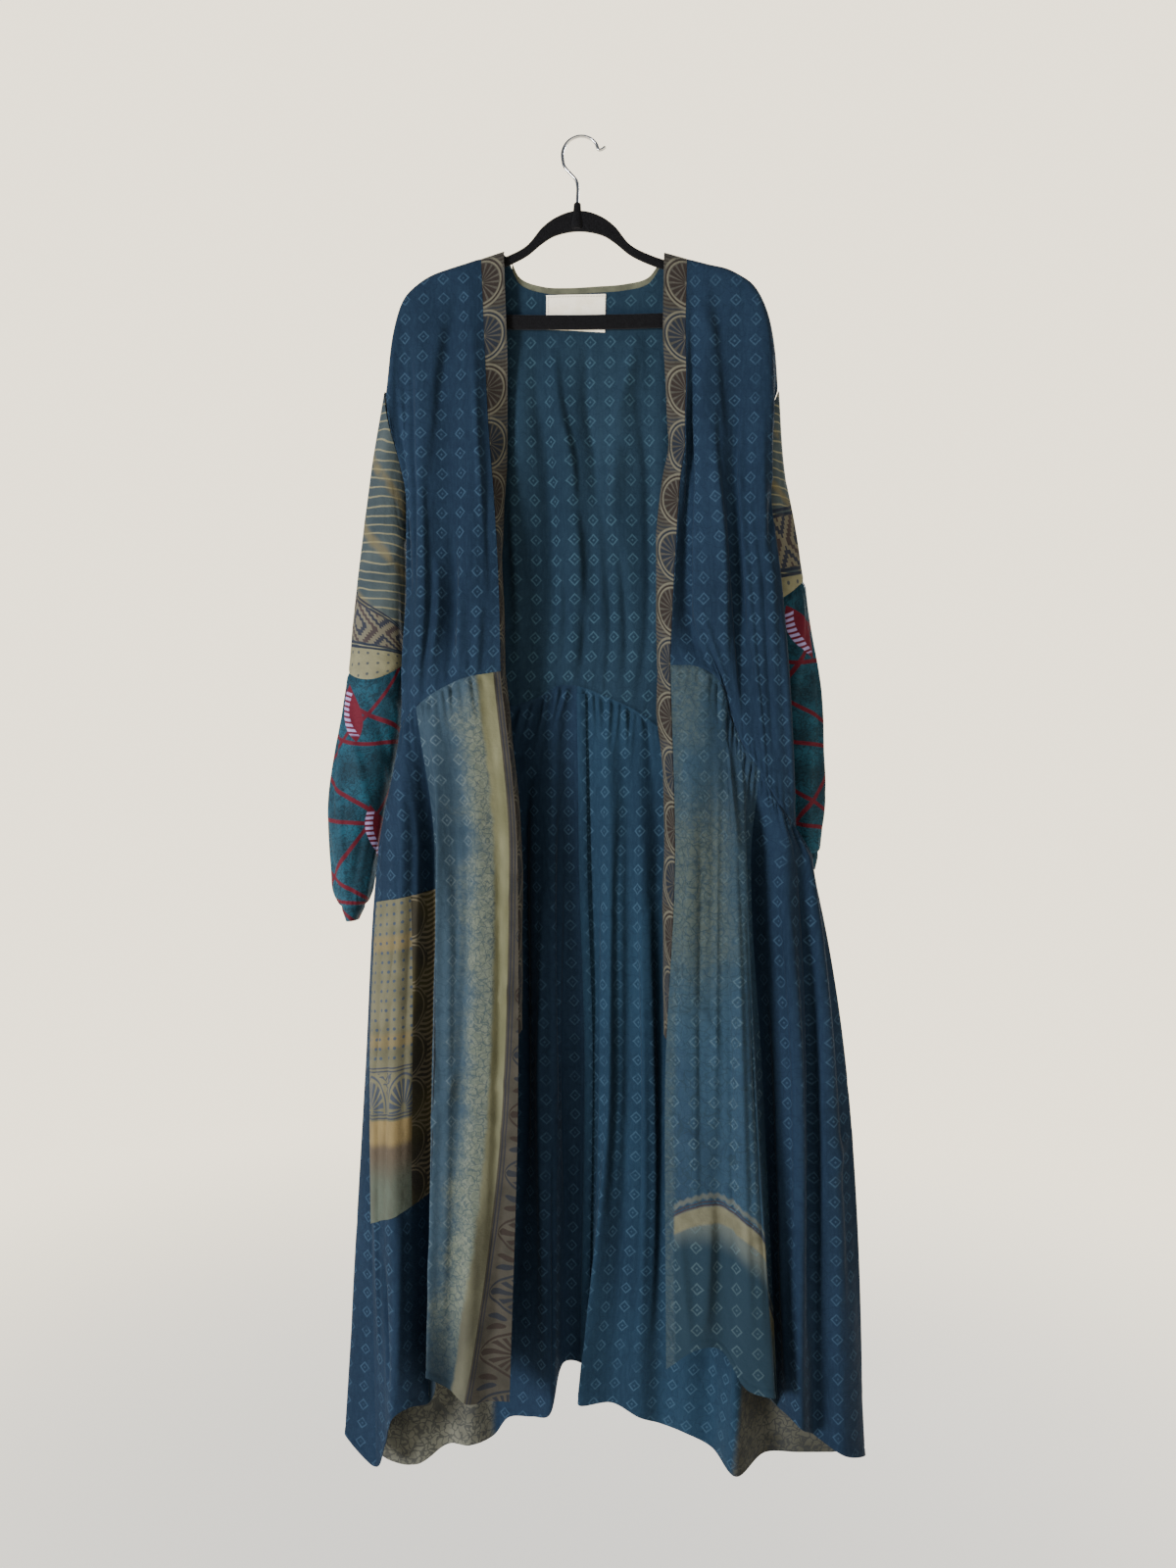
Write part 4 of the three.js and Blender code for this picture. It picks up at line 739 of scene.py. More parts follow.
# ---------------------------------------------------------------- bands, label and patch
def front_band(name, bodice_edge, skirt_edge, turns, inward):
    """Sewn to the panels' front edge and turned back by its table."""
    seam = np.vstack([bodice_edge, skirt_edge[1:][skirt_edge[1:, 2] > BAND["foot"]]])
    turn = np.radians(np.interp(-seam[:, 2], [-z for z, _ in turns],
                                [degrees for _, degrees in turns]))
    way = np.stack([inward * np.cos(turn), np.sin(turn), 0 * turn], -1)
    rise = BAND["rise"] * np.maximum(0, 1 - (seam[0, 2] - seam[:, 2]) / BAND["rise_fade"])
    # It starts off the panel's edge, further off the more it is turned back.
    start = 0.2 + 0.9 * np.sin(turn)
    shares = np.linspace(0, 1, 15)
    reach = start + (BAND["width"] - start) * shares[:, None]
    grid = seam[None] + way[None] * reach[..., None]
    grid[..., 2] += reach * rise
    down = lengths(grid, 1)
    # A slight wave that grows to the free edge, and a stitched groove along both edges.
    wave = (0.5 * np.sin(down / 37) + 0.4 * np.sin(down / 17 + 1)) * shares[:, None]
    if inward > 0:
        grid, wave, reach = grid[::-1], wave[::-1], reach[::-1]
    normals = normals_of(grid)
    edge = np.minimum(reach - reach.min(), reach.max() - reach)
    wave = wave - 0.35 * np.exp(-(((edge - 2.2) / 0.8) ** 2))
    grid = grid + normals * (wave * np.minimum(1, down / 30))[..., None]
    normals = normals_of(grid)
    normals[:, 0] = (0, 0, 1)
    uv = np.stack([reach, lengths(grid, 1)], -1)
    shell(name, grid, normals, uv, FOLDED_CLOTH)


def neck_band(back_grid, columns):
    """Stands above the back panel's edge, outside it."""
    inside = (columns >= NECKBAND["first"]) & (columns <= NECKBAND["last"])
    edge = back_grid[inside]
    outward = normals_of(back_grid)[inside]
    depth = lengths(back_grid, 1)[inside]
    stand = NECKBAND["stand"]
    widths = np.linspace(-stand, NECKBAND["width"] - stand, 16)
    along = np.maximum(widths, 0)
    grid = np.empty((len(edge), len(widths), 3))
    for i in range(len(edge)):
        for k in range(3):
            push = np.interp(np.maximum(along, stand), depth[i], outward[i, :, k])
            grid[i, :, k] = np.interp(along, depth[i], edge[i, :, k]) + push * NECKBAND["off"]
        grid[i, :, 2] += np.maximum(0, -widths)
    uv = np.stack(np.broadcast_arrays(lengths(grid, 0)[:, :1], widths[None]), -1)
    shell("band_neck_back", grid, normals_of(grid), uv, NECK_CLOTH)


def surface_piece(name, grid, columns, cut):
    """A flat piece that lies on a panel's grid between two columns and two slanting heights."""
    first, last, rows, tops, feet = (cut[key] for key in ("first", "last", "rows", "top", "foot"))
    wanted = fine(first, last, STEP / 2)
    share = (wanted - first) / (last - first)
    base = np.empty((len(wanted), rows, 3))
    facing = np.empty_like(base)
    normals = normals_of(grid)
    for i, column in enumerate(wanted):
        place = np.interp(column, columns, np.arange(len(columns)))
        a = min(int(place), len(columns) - 2)
        line = grid[a] + (grid[a + 1] - grid[a]) * (place - a)
        facing_line = normals[a] + (normals[a + 1] - normals[a]) * (place - a)
        z = np.linspace(tops[0] + (tops[1] - tops[0]) * share[i],
                        feet[0] + (feet[1] - feet[0]) * share[i], rows)
        for k in range(3):
            base[i, :, k] = np.interp(-z, -line[:, 2], line[:, k])
            facing[i, :, k] = np.interp(-z, -line[:, 2], facing_line[:, k])
    facing = unit(facing)
    laid = base + facing * cut["lift"]
    shell(name, laid, facing, np.stack([lengths(laid, 0), lengths(laid, 1)], -1), THIN_CLOTH)


def seam_allowance(panel):
    """A narrow strip that stands inside the panel's first column and arches off it."""
    shown = slice(4, -2)
    inward = -normals_of(panel)[:1, shown]
    shares = np.linspace(0, 1, 6)[:, None, None]
    off = 1.2 + 1.6 * np.sin(shares * math.pi)
    strip = panel[:1, shown] + inward * off + shares * (ALLOWANCE, 0, 0)
    uv = np.stack([shares[..., 0] * ALLOWANCE + 0 * strip[..., 0], lengths(strip, 1)], -1)
    shell("allowance_back", strip, normals_of(strip), uv)


# ---------------------------------------------------------------- sleeves
def armhole(front, column, angles):
    """A loop round the armhole: along the front panel's edge and back along the back's."""
    top = front(np.array([column]), [0])[0, 0, 2]
    waist = curve_at(WAIST_LINE, [column])[0, 2]
    z = (top + UNDERARM) / 2 + (top - UNDERARM) / 2 * np.cos(angles)
    drops = (top - z) / (top - waist)
    ahead, behind = (surface(np.array([column]), drops)[0] for surface in (front, back))
    return np.where((np.sin(angles) >= 0)[:, None], ahead, behind)


def sleeve_surface(table, start, front, column, angles, places):
    """Sleeve points by angle round and place along, in sections."""
    loop = armhole(front, column, angles)
    low = (1 - np.cos(angles)) / 2
    loop[:, 0] += start["side"] * (start["out"] + start["under"] * low ** 3)
    loop[:, 1] += start["behind"] * np.maximum(0, np.sin(angles))
    loop[:, 2] -= 0.3
    s = named(SLEEVE_COLUMNS, table["upper"] + table["lower"] + table["cuff"])
    c, d = np.cos(angles)[None], np.sin(angles)[None]

    def across(outer, inner):
        return ((outer + inner) / 2)[:, None] + ((outer - inner) / 2)[:, None] * c

    middle, half = (s["front_y"] + s["back_y"]) / 2, (s["back_y"] - s["front_y"]) / 2
    y = middle[:, None] - half[:, None] * d
    z = across(s["outer_z"], s["inner_z"]) - s["sag"][:, None] * d ** 2
    rings = np.stack([across(s["outer_x"], s["inner_x"]), y, z], -1)
    line = np.concatenate([loop[None], rings])
    return curve_at(line, places).transpose(1, 0, 2)


def sleeve(suffix, side, table, start, front, column, seed):
    """One tube with its creases, cut into the upper sleeve, the lower sleeve and the cuff."""
    angles = -math.pi / 2 - side * 2 * math.pi * np.arange(AROUND) / AROUND
    elbow = len(table["upper"])
    wrist = elbow + len(table["lower"])
    ends = (0, elbow, wrist, wrist + 1)
    places = np.concatenate([[0]] + [fine(start_at, end_at, step)[1:] for start_at, end_at, step
                                     in zip(ends, ends[1:], SLEEVE_STEPS)])
    grid = sleeve_surface(table, start, front, column, angles, places)
    normals = normals_of(grid, ring=True)
    drop = -grid[..., 2]
    around = lengths(grid, 0)
    turn = np.arange(AROUND) / AROUND - 0.5
    girth = around[-1] + np.linalg.norm(grid[-1] - grid[0], axis=-1)
    u = turn[:, None] * girth[None]
    v = np.broadcast_to(lengths(grid, 1).mean(0)[None], u.shape)
    rows = []
    for turn_a, place_a, turn_b, place_b, width, height, skew in SLEEVE_CREASES[suffix]:
        j, k = nearest(places, place_a), nearest(places, place_b)
        rows.append((turn_a * girth[j], v[0, j], turn_b * girth[k], v[0, k],
                     width, height, skew))
    height = crease_field(u, v, rows)
    j_elbow, j_wrist = nearest(places, elbow), nearest(places, wrist)
    across = u - u.min()
    height += gathers(across, v, j_elbow, *ELBOW_GATHERS, seed, way=1) * (v >= v[0, j_elbow])
    height += gathers(across, v, j_wrist, *WRIST_GATHERS, seed + 1) * (v <= v[0, j_wrist])
    height += small_wrinkles(u, v, SLEEVE_WRINKLES, seed + 2, 0.7)
    back_seam = np.minimum(1, (0.5 - np.abs(turn)) * 16)[:, None]
    height *= back_seam * np.minimum(1, v / 25)
    for j in (j_elbow, j_wrist):
        height = height * np.minimum(1, 0.25 + np.abs(v - v[0, j]) / 9)
        height = height + seam_dent(v - v[0, j], SLEEVE_DENT)
    grid = grid + normals * height[..., None]
    normals = normals_of(grid, ring=True)
    closed_u = np.concatenate([u, u[:1] + girth[None]])
    closed_v = np.concatenate([v, v[:1]])
    closed_drop = np.concatenate([drop, drop[:1]])
    for name, a, b in ((f"sleeve_upper_{suffix}", 0, j_elbow),
                       (f"sleeve_lower_{suffix}", j_elbow, j_wrist),
                       (f"cuff_{suffix}", j_wrist, len(places) - 1)):
        rows = slice(a, b + 1)
        below = closed_drop[:, rows] if a == 0 else closed_v[:, rows] - closed_v[0, a]
        uv = np.stack([closed_u[:, rows], below], -1)
        shell(name, grid[:, rows], normals[:, rows], uv, ring=True)


# ---------------------------------------------------------------- hanger and hook
def turned(x, z):
    """A point of the hanger, swung a little round the hook's seat."""
    a = math.radians(HANGER["tilt"])
    return x * math.cos(a) - z * math.sin(a), 0, x * math.sin(a) + z * math.cos(a)


def add_spline(curve, places):
    """Adds a line of straight pieces through the places, in metres."""
    spline = curve.splines.new("POLY")
    spline.points.add(len(places) - 1)
    for point, place in zip(spline.points, places):
        point.co = (*place, 1)
    return spline


def hook_wire():
    radius = HOOK["radius"]
    path = [(HOOK["stem_x"], HOOK["stem_foot"] + LIFT - HOOK["in_boss"])] + HOOK_STEM
    for degrees in range(195, 14, -20):
        a = math.radians(degrees)
        path.append((radius * math.cos(a),
                     HOOK["wire"] / 2 - radius + radius * math.sin(a)))
    line = np.array([turned(x, z) for x, z in path + HOOK_TIP])
    curve = bpy.data.curves.new("hook", "CURVE")
    curve.dimensions = "3D"
    curve.bevel_depth = HOOK["wire"] / 2 * MM
    curve.bevel_resolution = 6
    curve.use_fill_caps = True
    add_spline(curve, curve_at(line, np.linspace(0, len(line) - 1, 160)) * MM)
    pieces["hanger_hook"] = placed("hanger_hook_wire", curve)


def plate_outline(half):
    """One closed edge of the plate: the half and its mirror image, drawn smooth."""
    right = [(HANGER["middle"] + x, z) for x, z in half]
    left = [(HANGER["middle"] - x, z) for x, z in half if x != 0]
    loop = np.array(right + left[::-1], float)
    count = len(loop)
    padded = np.vstack([loop[-2:], loop, loop[:3]])
    dense = curve_at(np.column_stack([padded, np.zeros(len(padded))]),
                     np.linspace(2, 2 + count, count * 8 + 1)[:-1])
    return [turned(x, z + LIFT) for x, z, _ in dense]


def hanger_plate():
    curve = bpy.data.curves.new("plate", "CURVE")
    curve.dimensions = "2D"
    curve.fill_mode = "BOTH"
    curve.extrude = (HANGER["thick"] / 2 - HANGER["round"]) * MM
    curve.bevel_depth = HANGER["round"] * MM
    curve.bevel_resolution = 3
    curve.offset = -HANGER["round"] * MM
    for half in (PLATE_OUTER, PLATE_INNER):
        outline = [(x * MM, z * MM, 0) for x, _, z in plate_outline(half)]
        add_spline(curve, outline).use_cyclic_u = True
    plate = placed("hanger_plate", curve)
    plate.rotation_euler = (math.pi / 2, 0, 0)
    pieces["hanger_frame"] = plate


def hanger_boss():
    """The round boss that holds the hook, turned with the hanger."""
    top = HOOK["stem_foot"] + LIFT + BOSS_RISE
    around = np.linspace(0, 2 * math.pi, BOSS_SIDES + 1)[:-1]
    flat = np.array([(r * math.cos(a) + HOOK["stem_x"], r * math.sin(a), top + z)
                     for a in around for r, z in BOSS])
    x, _, z = turned(flat[:, 0], flat[:, 2])
    down = len(BOSS)
    starts = [i * down for i in range(BOSS_SIDES)]
    faces = [(a + j, b + j, b + j + 1, a + j + 1)
             for a, b in zip(starts, starts[1:] + starts[:1]) for j in range(down - 1)]
    faces.append([start + down - 1 for start in starts][::-1])
    faces.append(starts)
    mesh = bpy.data.meshes.new("boss")
    mesh.from_pydata((np.stack([x, flat[:, 1], z], -1) * MM).tolist(), [], faces)
    mesh.polygons.foreach_set("use_smooth", np.ones(len(faces), bool))
    mesh.set_sharp_from_angle(angle=math.radians(50))
    pieces["hanger_boss"] = placed("hanger_boss", mesh)


# ---------------------------------------------------------------- material nodes
def set_inputs(node, **values):
    """Sets sockets by name, with _ for the spaces."""
    for name, value in values.items():
        node.inputs[name.replace("_", " ")].default_value = value


def rgb(text):
    """A colour written as six hexadecimal figures, in linear light."""
    values = [int(text[i:i + 2], 16) / 255 for i in (0, 2, 4)]
    return (*[v / 12.92 if v <= 0.04045 else ((v + 0.055) / 1.055) ** 2.4 for v in values], 1)


class Signal:
    """A node's output that can be reckoned with like a number."""

    def __init__(self, paint, socket):
        self.paint = paint
        self.socket = socket

    def __add__(self, other):
        return self.paint.math("ADD", self, other)

    def __sub__(self, other):
        return self.paint.math("SUBTRACT", self, other)

    def __rsub__(self, other):
        return self.paint.math("SUBTRACT", other, self)

    def __mul__(self, other):
        return self.paint.math("MULTIPLY", self, other)

    def __truediv__(self, other):
        return self.paint.math("DIVIDE", self, other)

    def __abs__(self):
        return self.paint.math("ABSOLUTE", self)

    __radd__ = __add__


class Paint:
    """One material, built from expressions in u and v, the cloth's millimetres."""

    def __init__(self, name, roughness=0.9, sheen=0.04):
        self.material = bpy.data.materials.new(name)
        self.material.use_nodes = True
        self.nodes = self.material.node_tree.nodes
        self.links = self.material.node_tree.links
        self.shader = self.nodes["Principled BSDF"]
        set_inputs(self.shader, Roughness=roughness, Sheen_Weight=sheen, Sheen_Roughness=0.4,
                   Specular_IOR_Level=0.12)
        place = self.nodes.new("ShaderNodeUVMap")
        place.uv_map = "cloth"
        split = self.nodes.new("ShaderNodeSeparateXYZ")
        self.links.new(place.outputs["UV"], split.inputs[0])
        self.u = Signal(self, split.outputs["X"]) * 1000
        self.v = Signal(self, split.outputs["Y"]) * 1000

    def put(self, value, socket):
        if isinstance(value, Signal):
            self.links.new(value.socket, socket)
        else:
            socket.default_value = value

    def math(self, operation, *values):
        node = self.nodes.new("ShaderNodeMath")
        node.operation = operation
        for value, socket in zip(values, node.inputs):
            self.put(value, socket)
        return Signal(self, node.outputs[0])

    def smooth(self, value, low, high):
        """0 below low, 1 above high."""
        node = self.nodes.new("ShaderNodeMapRange")
        node.interpolation_type = "SMOOTHSTEP"
        self.put(value, node.inputs["Value"])
        self.put(low, node.inputs["From Min"])
        self.put(high, node.inputs["From Max"])
        return Signal(self, node.outputs["Result"])

    def within(self, value, half, soft=0.5):
        """1 where value is within half of zero."""
        return self.until(abs(value), half - soft, half + soft)

    def until(self, value, low, high):
        """1 below low, 0 above high."""
        return 1 - self.smooth(value, low, high)

    def repeat(self, value, pitch):
        """Signed distance to the middle of the cell that value lies in."""
        return (self.math("FRACT", value / pitch) - 0.5) * pitch

    def hypot(self, a, b):
        return self.math("SQRT", a * a + b * b)

    def rays(self, y, x, count):
        """Waves from -1 to 1 round a point."""
        return self.math("COSINE", self.math("ARCTAN2", y, x) * count)

    def both(self, *signals):
        result = signals[0]
        for signal in signals[1:]:
            result = result * signal
        return result

    def most(self, *signals):
        result = signals[0]
        for signal in signals[1:]:
            result = self.math("MAXIMUM", result, signal)
        return result

    def place(self, u, v, size, shift=0.0):
        node = self.nodes.new("ShaderNodeCombineXYZ")
        self.put(u / size, node.inputs[0])
        self.put(v / size, node.inputs[1])
        node.inputs[2].default_value = shift
        return node.outputs[0]

    def noise(self, size, detail=2.0, shift=0.0, stretch=1.0):
        return self.noise_at(self.place(self.u, self.v / stretch, size, shift), 1, detail)

    def noise_at(self, where, scale, detail):
        node = self.nodes.new("ShaderNodeTexNoise")
        self.links.new(where, node.inputs["Vector"])
        set_inputs(node, Scale=scale, Detail=detail)
        return Signal(self, node.outputs["Fac"])

    def object_noise(self, scale, detail):
        """Noise in the object's space, for pieces without cloth coordinates."""
        where = self.nodes.new("ShaderNodeTexCoord")
        return self.noise_at(where.outputs["Object"], scale, detail)

    def crackle(self, size, wobble=0.5, shift=0.0, thin=0.05, thick=0.14):
        """Thin irregular lines like the cracks of a wax resist."""
        u = self.u + (self.noise(size * 1.1, 1, shift) - 0.5) * (size * wobble * 4)
        v = self.v + (self.noise(size * 1.1, 1, shift + 7) - 0.5) * (size * wobble * 4)
        node = self.nodes.new("ShaderNodeTexVoronoi")
        node.feature = "DISTANCE_TO_EDGE"
        set_inputs(node, Scale=1)
        self.links.new(self.place(u, v, size, shift), node.inputs["Vector"])
        return self.until(Signal(self, node.outputs["Distance"]), thin, thick)

    def mix(self, share, a, b):
        node = self.nodes.new("ShaderNodeMix")
        node.data_type = "RGBA"
        self.put(share, node.inputs[0])
        for colour, socket in ((a, node.inputs[6]), (b, node.inputs[7])):
            self.put(rgb(colour) if isinstance(colour, str) else colour, socket)
        return Signal(self, node.outputs[2])

    def cloudy(self, size, dark, light, shift=0.0, stretch=1.0):
        """Two colours in soft clouds."""
        return self.mix(self.smooth(self.noise(size, 2, shift, stretch), 0.3, 0.7), dark, light)

    def finish(self, colour, relief=None):
        """Connects the colour and adds the weave and any relief as bump."""
        self.put(colour, self.shader.inputs["Base Color"])
        weave = self.math("SINE", self.u * 5.2) + self.math("SINE", self.v * 5.2)
        height = (weave * 0.05 + self.noise(2.6, 3, 3) * 0.8 + self.noise(7, 3, 4, 0.6) * 2.4
                  + self.noise(20, 3, 5) * 6.0)
        if relief is not None:
            height = height + relief
        return self.bumped(height, 0.25, 0.9)

    def bumped(self, height, depth, strength):
        bump = self.nodes.new("ShaderNodeBump")
        set_inputs(bump, Distance=depth * MM, Strength=strength)
        self.put(height, bump.inputs["Height"])
        self.links.new(bump.outputs["Normal"], self.shader.inputs["Normal"])
        return self.material


# ---------------------------------------------------------------- prints
# Numbers here are millimetres on the cloth or shares from 0 to 1. The last number of a noise,
# cloud or crackle only shifts it, so that no two are alike.
INDIGO = {"deep": "0f1e2f", "mid": "17273a", "pale": "32485c", "line": "1f3244"}
INSIDE_INDIGO = {"deep": "112231", "mid": "1a2c3b", "pale": "36505f", "line": "223544"}
TEAL_INDIGO = {"deep": "122435", "mid": "192f41", "pale": "364e61", "line": "23394a"}
LEFT_BLUE = {"deep": "202f3c", "mid": "2f404e", "pale": "4c5c66", "line": "384955"}
RIGHT_BLUE = {"deep": "1b2b3c", "mid": "24394a", "pale": "475b67", "line": "2c3f4e"}


def diamonds(p):
    """Hand-printed outlined diamonds with a middle dot, on a straight grid, unevenly inked."""
    u = p.u + (p.noise(95, 1, 11) - 0.5) * 5
    v = p.v + (p.noise(90, 1, 12) - 0.5) * 5
    away = (abs(p.repeat(u, 24.0)) + abs(p.repeat(v, 23.4)) * 0.95
            + (p.noise(5, 1, 13) - 0.5) * 1.6)
    shape = p.most(p.within(away - 6.0, 0.9, 1.1), p.within(away, 1.3, 1.0) * 0.9)
    return shape * p.smooth(p.noise(9, 3, 14), 0.15, 0.6) * p.smooth(p.noise(70, 1, 15), 0.1, 0.5)


def dyed(p, tones):
    """Unevenly dyed cloth with slubs, faint cracks and the diamonds."""
    ground = p.cloudy(110, tones["deep"], tones["mid"], 1, 2.2)
    slubs = p.smooth(p.noise(3.4, 3, 2, 5), 0.35, 0.8)
    slubbed = p.mix(slubs * 0.35, ground, tones["line"])
    cracks = p.crackle(13, shift=3, thin=0.01, thick=0.06)
    cracked = p.mix(cracks * 0.45, slubbed, tones["deep"])
    return p.mix(diamonds(p) * 0.68, cracked, tones["pale"])


def indigo_print(name, tones):
    p = Paint(name)
    return p.finish(dyed(p, tones))


def fine_cracks(p, size, shift, wobble=0.35, thick=0.09):
    """Crackle lines that are thin and only a little wavy."""
    return p.crackle(size, wobble=wobble, shift=shift, thin=0.01, thick=thick)


def brown_crackle(p, dark="34342e", light="46463f"):
    """The brown-grey ground of the wrong side."""
    return p.mix(p.crackle(9, shift=22) * 0.6, p.cloudy(40, dark, light, 21), "22252a")


def inside_print(name, tones, brown_from, brown_to, brown_below, dark, light):
    """The wrong side, with brown-grey cloth between two widths and below a length."""
    p = Paint(name)
    side = p.smooth(p.u, brown_from - 6, brown_from + 6)
    side = side * p.until(p.u, brown_to - 6, brown_to + 6)
    ragged = p.v + (p.noise(30, 2, 23) - 0.5) * 40
    share = side * p.smooth(ragged, brown_below, brown_below + 60)
    return p.finish(p.mix(share, dyed(p, tones), brown_crackle(p, dark, light)))


def wrong_side(name):
    p = Paint(name)
    return p.finish(p.mix(0.45, dyed(p, INDIGO), brown_crackle(p)))


def vermicelli(p, share, ground, tone, pale):
    """Cloth that pales in fine mottles as share rises, under thin dark winding cracks."""
    mottle = p.noise(5, 3, 34) - 0.5
    soft = p.mix(p.smooth(share + mottle * 1.1, 0.15, 1.0), ground, tone)
    winding = p.most(fine_cracks(p, 10, 31), fine_cracks(p, 15, 32, 0.4, 0.07))
    soft = p.mix(winding * (share * 0.28 + 0.05), soft, pale)
    return p.mix(fine_cracks(p, 8, 33) * 0.6, soft, "26343f")


def fan(p, du, dv, wide, tall, petals):
    """A half-round fan, by distances from the middle of its flat side: ink, pale line, disc."""
    x, y = du / wide, dv / tall
    radius = p.hypot(x, y)
    petal = p.both(p.smooth(p.rays(y, x, 2 * petals), -0.65, -0.2),
                   p.smooth(radius, 0.1, 0.18), p.until(radius, 0.8, 0.86))
    rim = p.within(radius - 0.97, 0.035, 0.015)
    pale = p.most(p.within(radius - 0.9, 0.035, 0.015),
                  p.within(radius - 1.07, 0.04, 0.02) * p.smooth(abs(y), 0.3, 0.6),
                  p.until(radius, 0.06, 0.1))
    return p.most(petal, rim), pale, p.until(radius, 1.1, 1.14)


def waves(p, u, v, period):
    """Wavy lines across a strip."""
    return p.smooth(p.math("SINE", v * (2 * math.pi / period)
                           + p.math("SINE", u * 0.22) * 1.4), -0.1, 0.4)


def fan_strip(name):
    """Grey-tan band with half-round fans in turn brown and navy, and wavy lines between."""
    p = Paint(name)
    pitch = 64
    v = p.v - 4
    ink, pale, disc = fan(p, p.u + 1, p.repeat(v, pitch), 26, 28, 9)
    ink = p.most(ink * disc, waves(p, p.u, p.v, 4.6) * (1 - disc) * 0.8)
    blue = p.smooth(p.repeat(v, 2 * pitch), -1, 1)
    cloth = p.mix(ink * 0.9, p.cloudy(20, "34332f", "403e3a", 43),
                  p.mix(blue, "241e1d", "1a202b"))
    return p.finish(p.mix(pale * 0.75, cloth, "5f5d51"), ink * -0.3)


def border_print(name):
    """Left front panel: a shaded crackle, a plain stripe, double lines and a fan border."""
    p = Paint(name)
    border_width = p.v * p.v * p.v * 7.6e-8 + 9
    q = border_width - p.u
    beyond = q * -1
    share = p.until(beyond + (p.noise(45, 2, 51) - 0.5) * 70, 22, 88)
    share = share * p.smooth(p.v + beyond * -1.1, -90, 60)
    blue = dyed(p, LEFT_BLUE)
    shaded = p.mix(share, blue, vermicelli(p, share, "2e3e4a", "50574f", "6d7165"))
    shaded = p.mix(diamonds(p) * share * 0.2, shaded, "7c7e70")
    shaded = p.mix(p.smooth(p.v + beyond * 0.5, 725, 860) * 0.95, shaded, "14222d")
    stripe = p.mix(p.smooth(p.v, 350, 850), p.cloudy(26, "54543f", "676751", 52, 3),
                   p.cloudy(26, "43433a", "525245", 52, 3))
    cloth = p.mix(p.until(beyond + (p.noise(18, 2, 54) - 0.5) * 6, 16, 22), shaded, stripe)
    pitch = 69
    dv = p.repeat(p.v, pitch)
    bow = p.math("SQRT", p.math("MAXIMUM", q - 9, 0)) * 4
    inside = p.until(abs(dv) - bow, -4.5, -3.5)
    spoke = p.rays(dv, 56 - q, 18)
    kite = p.most(p.within(abs(dv) - bow, 1.5, 0.5), p.smooth(spoke, -0.3, 0.1) * inside)
    leaf = p.hypot((q - 24) / 12, (abs(dv) - 29 - (q - 24) * 0.15) / 3.4)
    leaf = p.until(leaf, 0.9, 1.1)
    ink = p.both(p.most(kite, leaf), p.smooth(q, 8.2, 9.2))
    brown = p.smooth(p.repeat(p.v, 2 * pitch), -1, 1)
    border = p.mix(ink * 0.8, p.cloudy(30, "302e29", "3b3832", 53),
                   p.mix(brown, "181d26", "231c1a"))
    cloth = p.mix(p.smooth(q, -0.5, 0.8), cloth, border)
    lines = p.most(p.within(q - 3.2, 0.8, 0.4), p.within(q - 6.8, 0.7, 0.4))
    return p.finish(p.mix(lines * 0.9, cloth, "23252d"), ink * -0.3)


def shaded_print(name):
    """Right front panel: worn pale edge, crackle and diamonds, and a low arched band."""
    p = Paint(name)
    from_edge = p.u * -1
    worn = (p.noise(50, 2, 61) - 0.5) * 40
    edge = p.until(from_edge + worn * 0.2, 8, 18) * 0.5
    corner = p.until(p.v + worn, 70, 150) * p.until(from_edge + worn, 25, 60)
    cloud = p.within(p.v - 260 + worn, 120, 90) * p.until(from_edge + worn, 40, 120)
    share = p.most(edge, corner * 0.6, cloud * 0.8)
    cloth = p.mix(share * 0.9, dyed(p, RIGHT_BLUE),
                  vermicelli(p, share, "27373d", "434a42", "51574e"))
    cloth = p.mix(fine_cracks(p, 13, 62, thick=0.06) * 0.5, cloth, "1b2a33")
    arch = from_edge * (from_edge * 0.0085 - 0.9) + 654
    level = p.v - arch
    past_edge = p.smooth(from_edge, 9, 13)
    low = p.mix(p.smooth(level + worn * 0.4 - from_edge * 0.14, -4, 34), "4b5250", "1b2c38")
    low = p.mix(diamonds(p) * 0.45, low, "4f6268")
    cloth = p.mix(p.smooth(level, 6, 10) * past_edge, cloth, low)
    scallops = p.within(level + 20 + abs(p.repeat(from_edge, 9)) * 0.5, 3, 2)
    cloth = p.mix(scallops * past_edge * 0.45, cloth, "5f5f50")
    cloth = p.mix(p.within(level, 10, 2) * past_edge, cloth, p.cloudy(18, "535243", "616050"))
    lines = p.most(p.within(level + 11.5, 0.9), p.within(level + 15, 0.7)) * past_edge
    return p.finish(p.mix(lines * 0.85, cloth, "352b2c"))


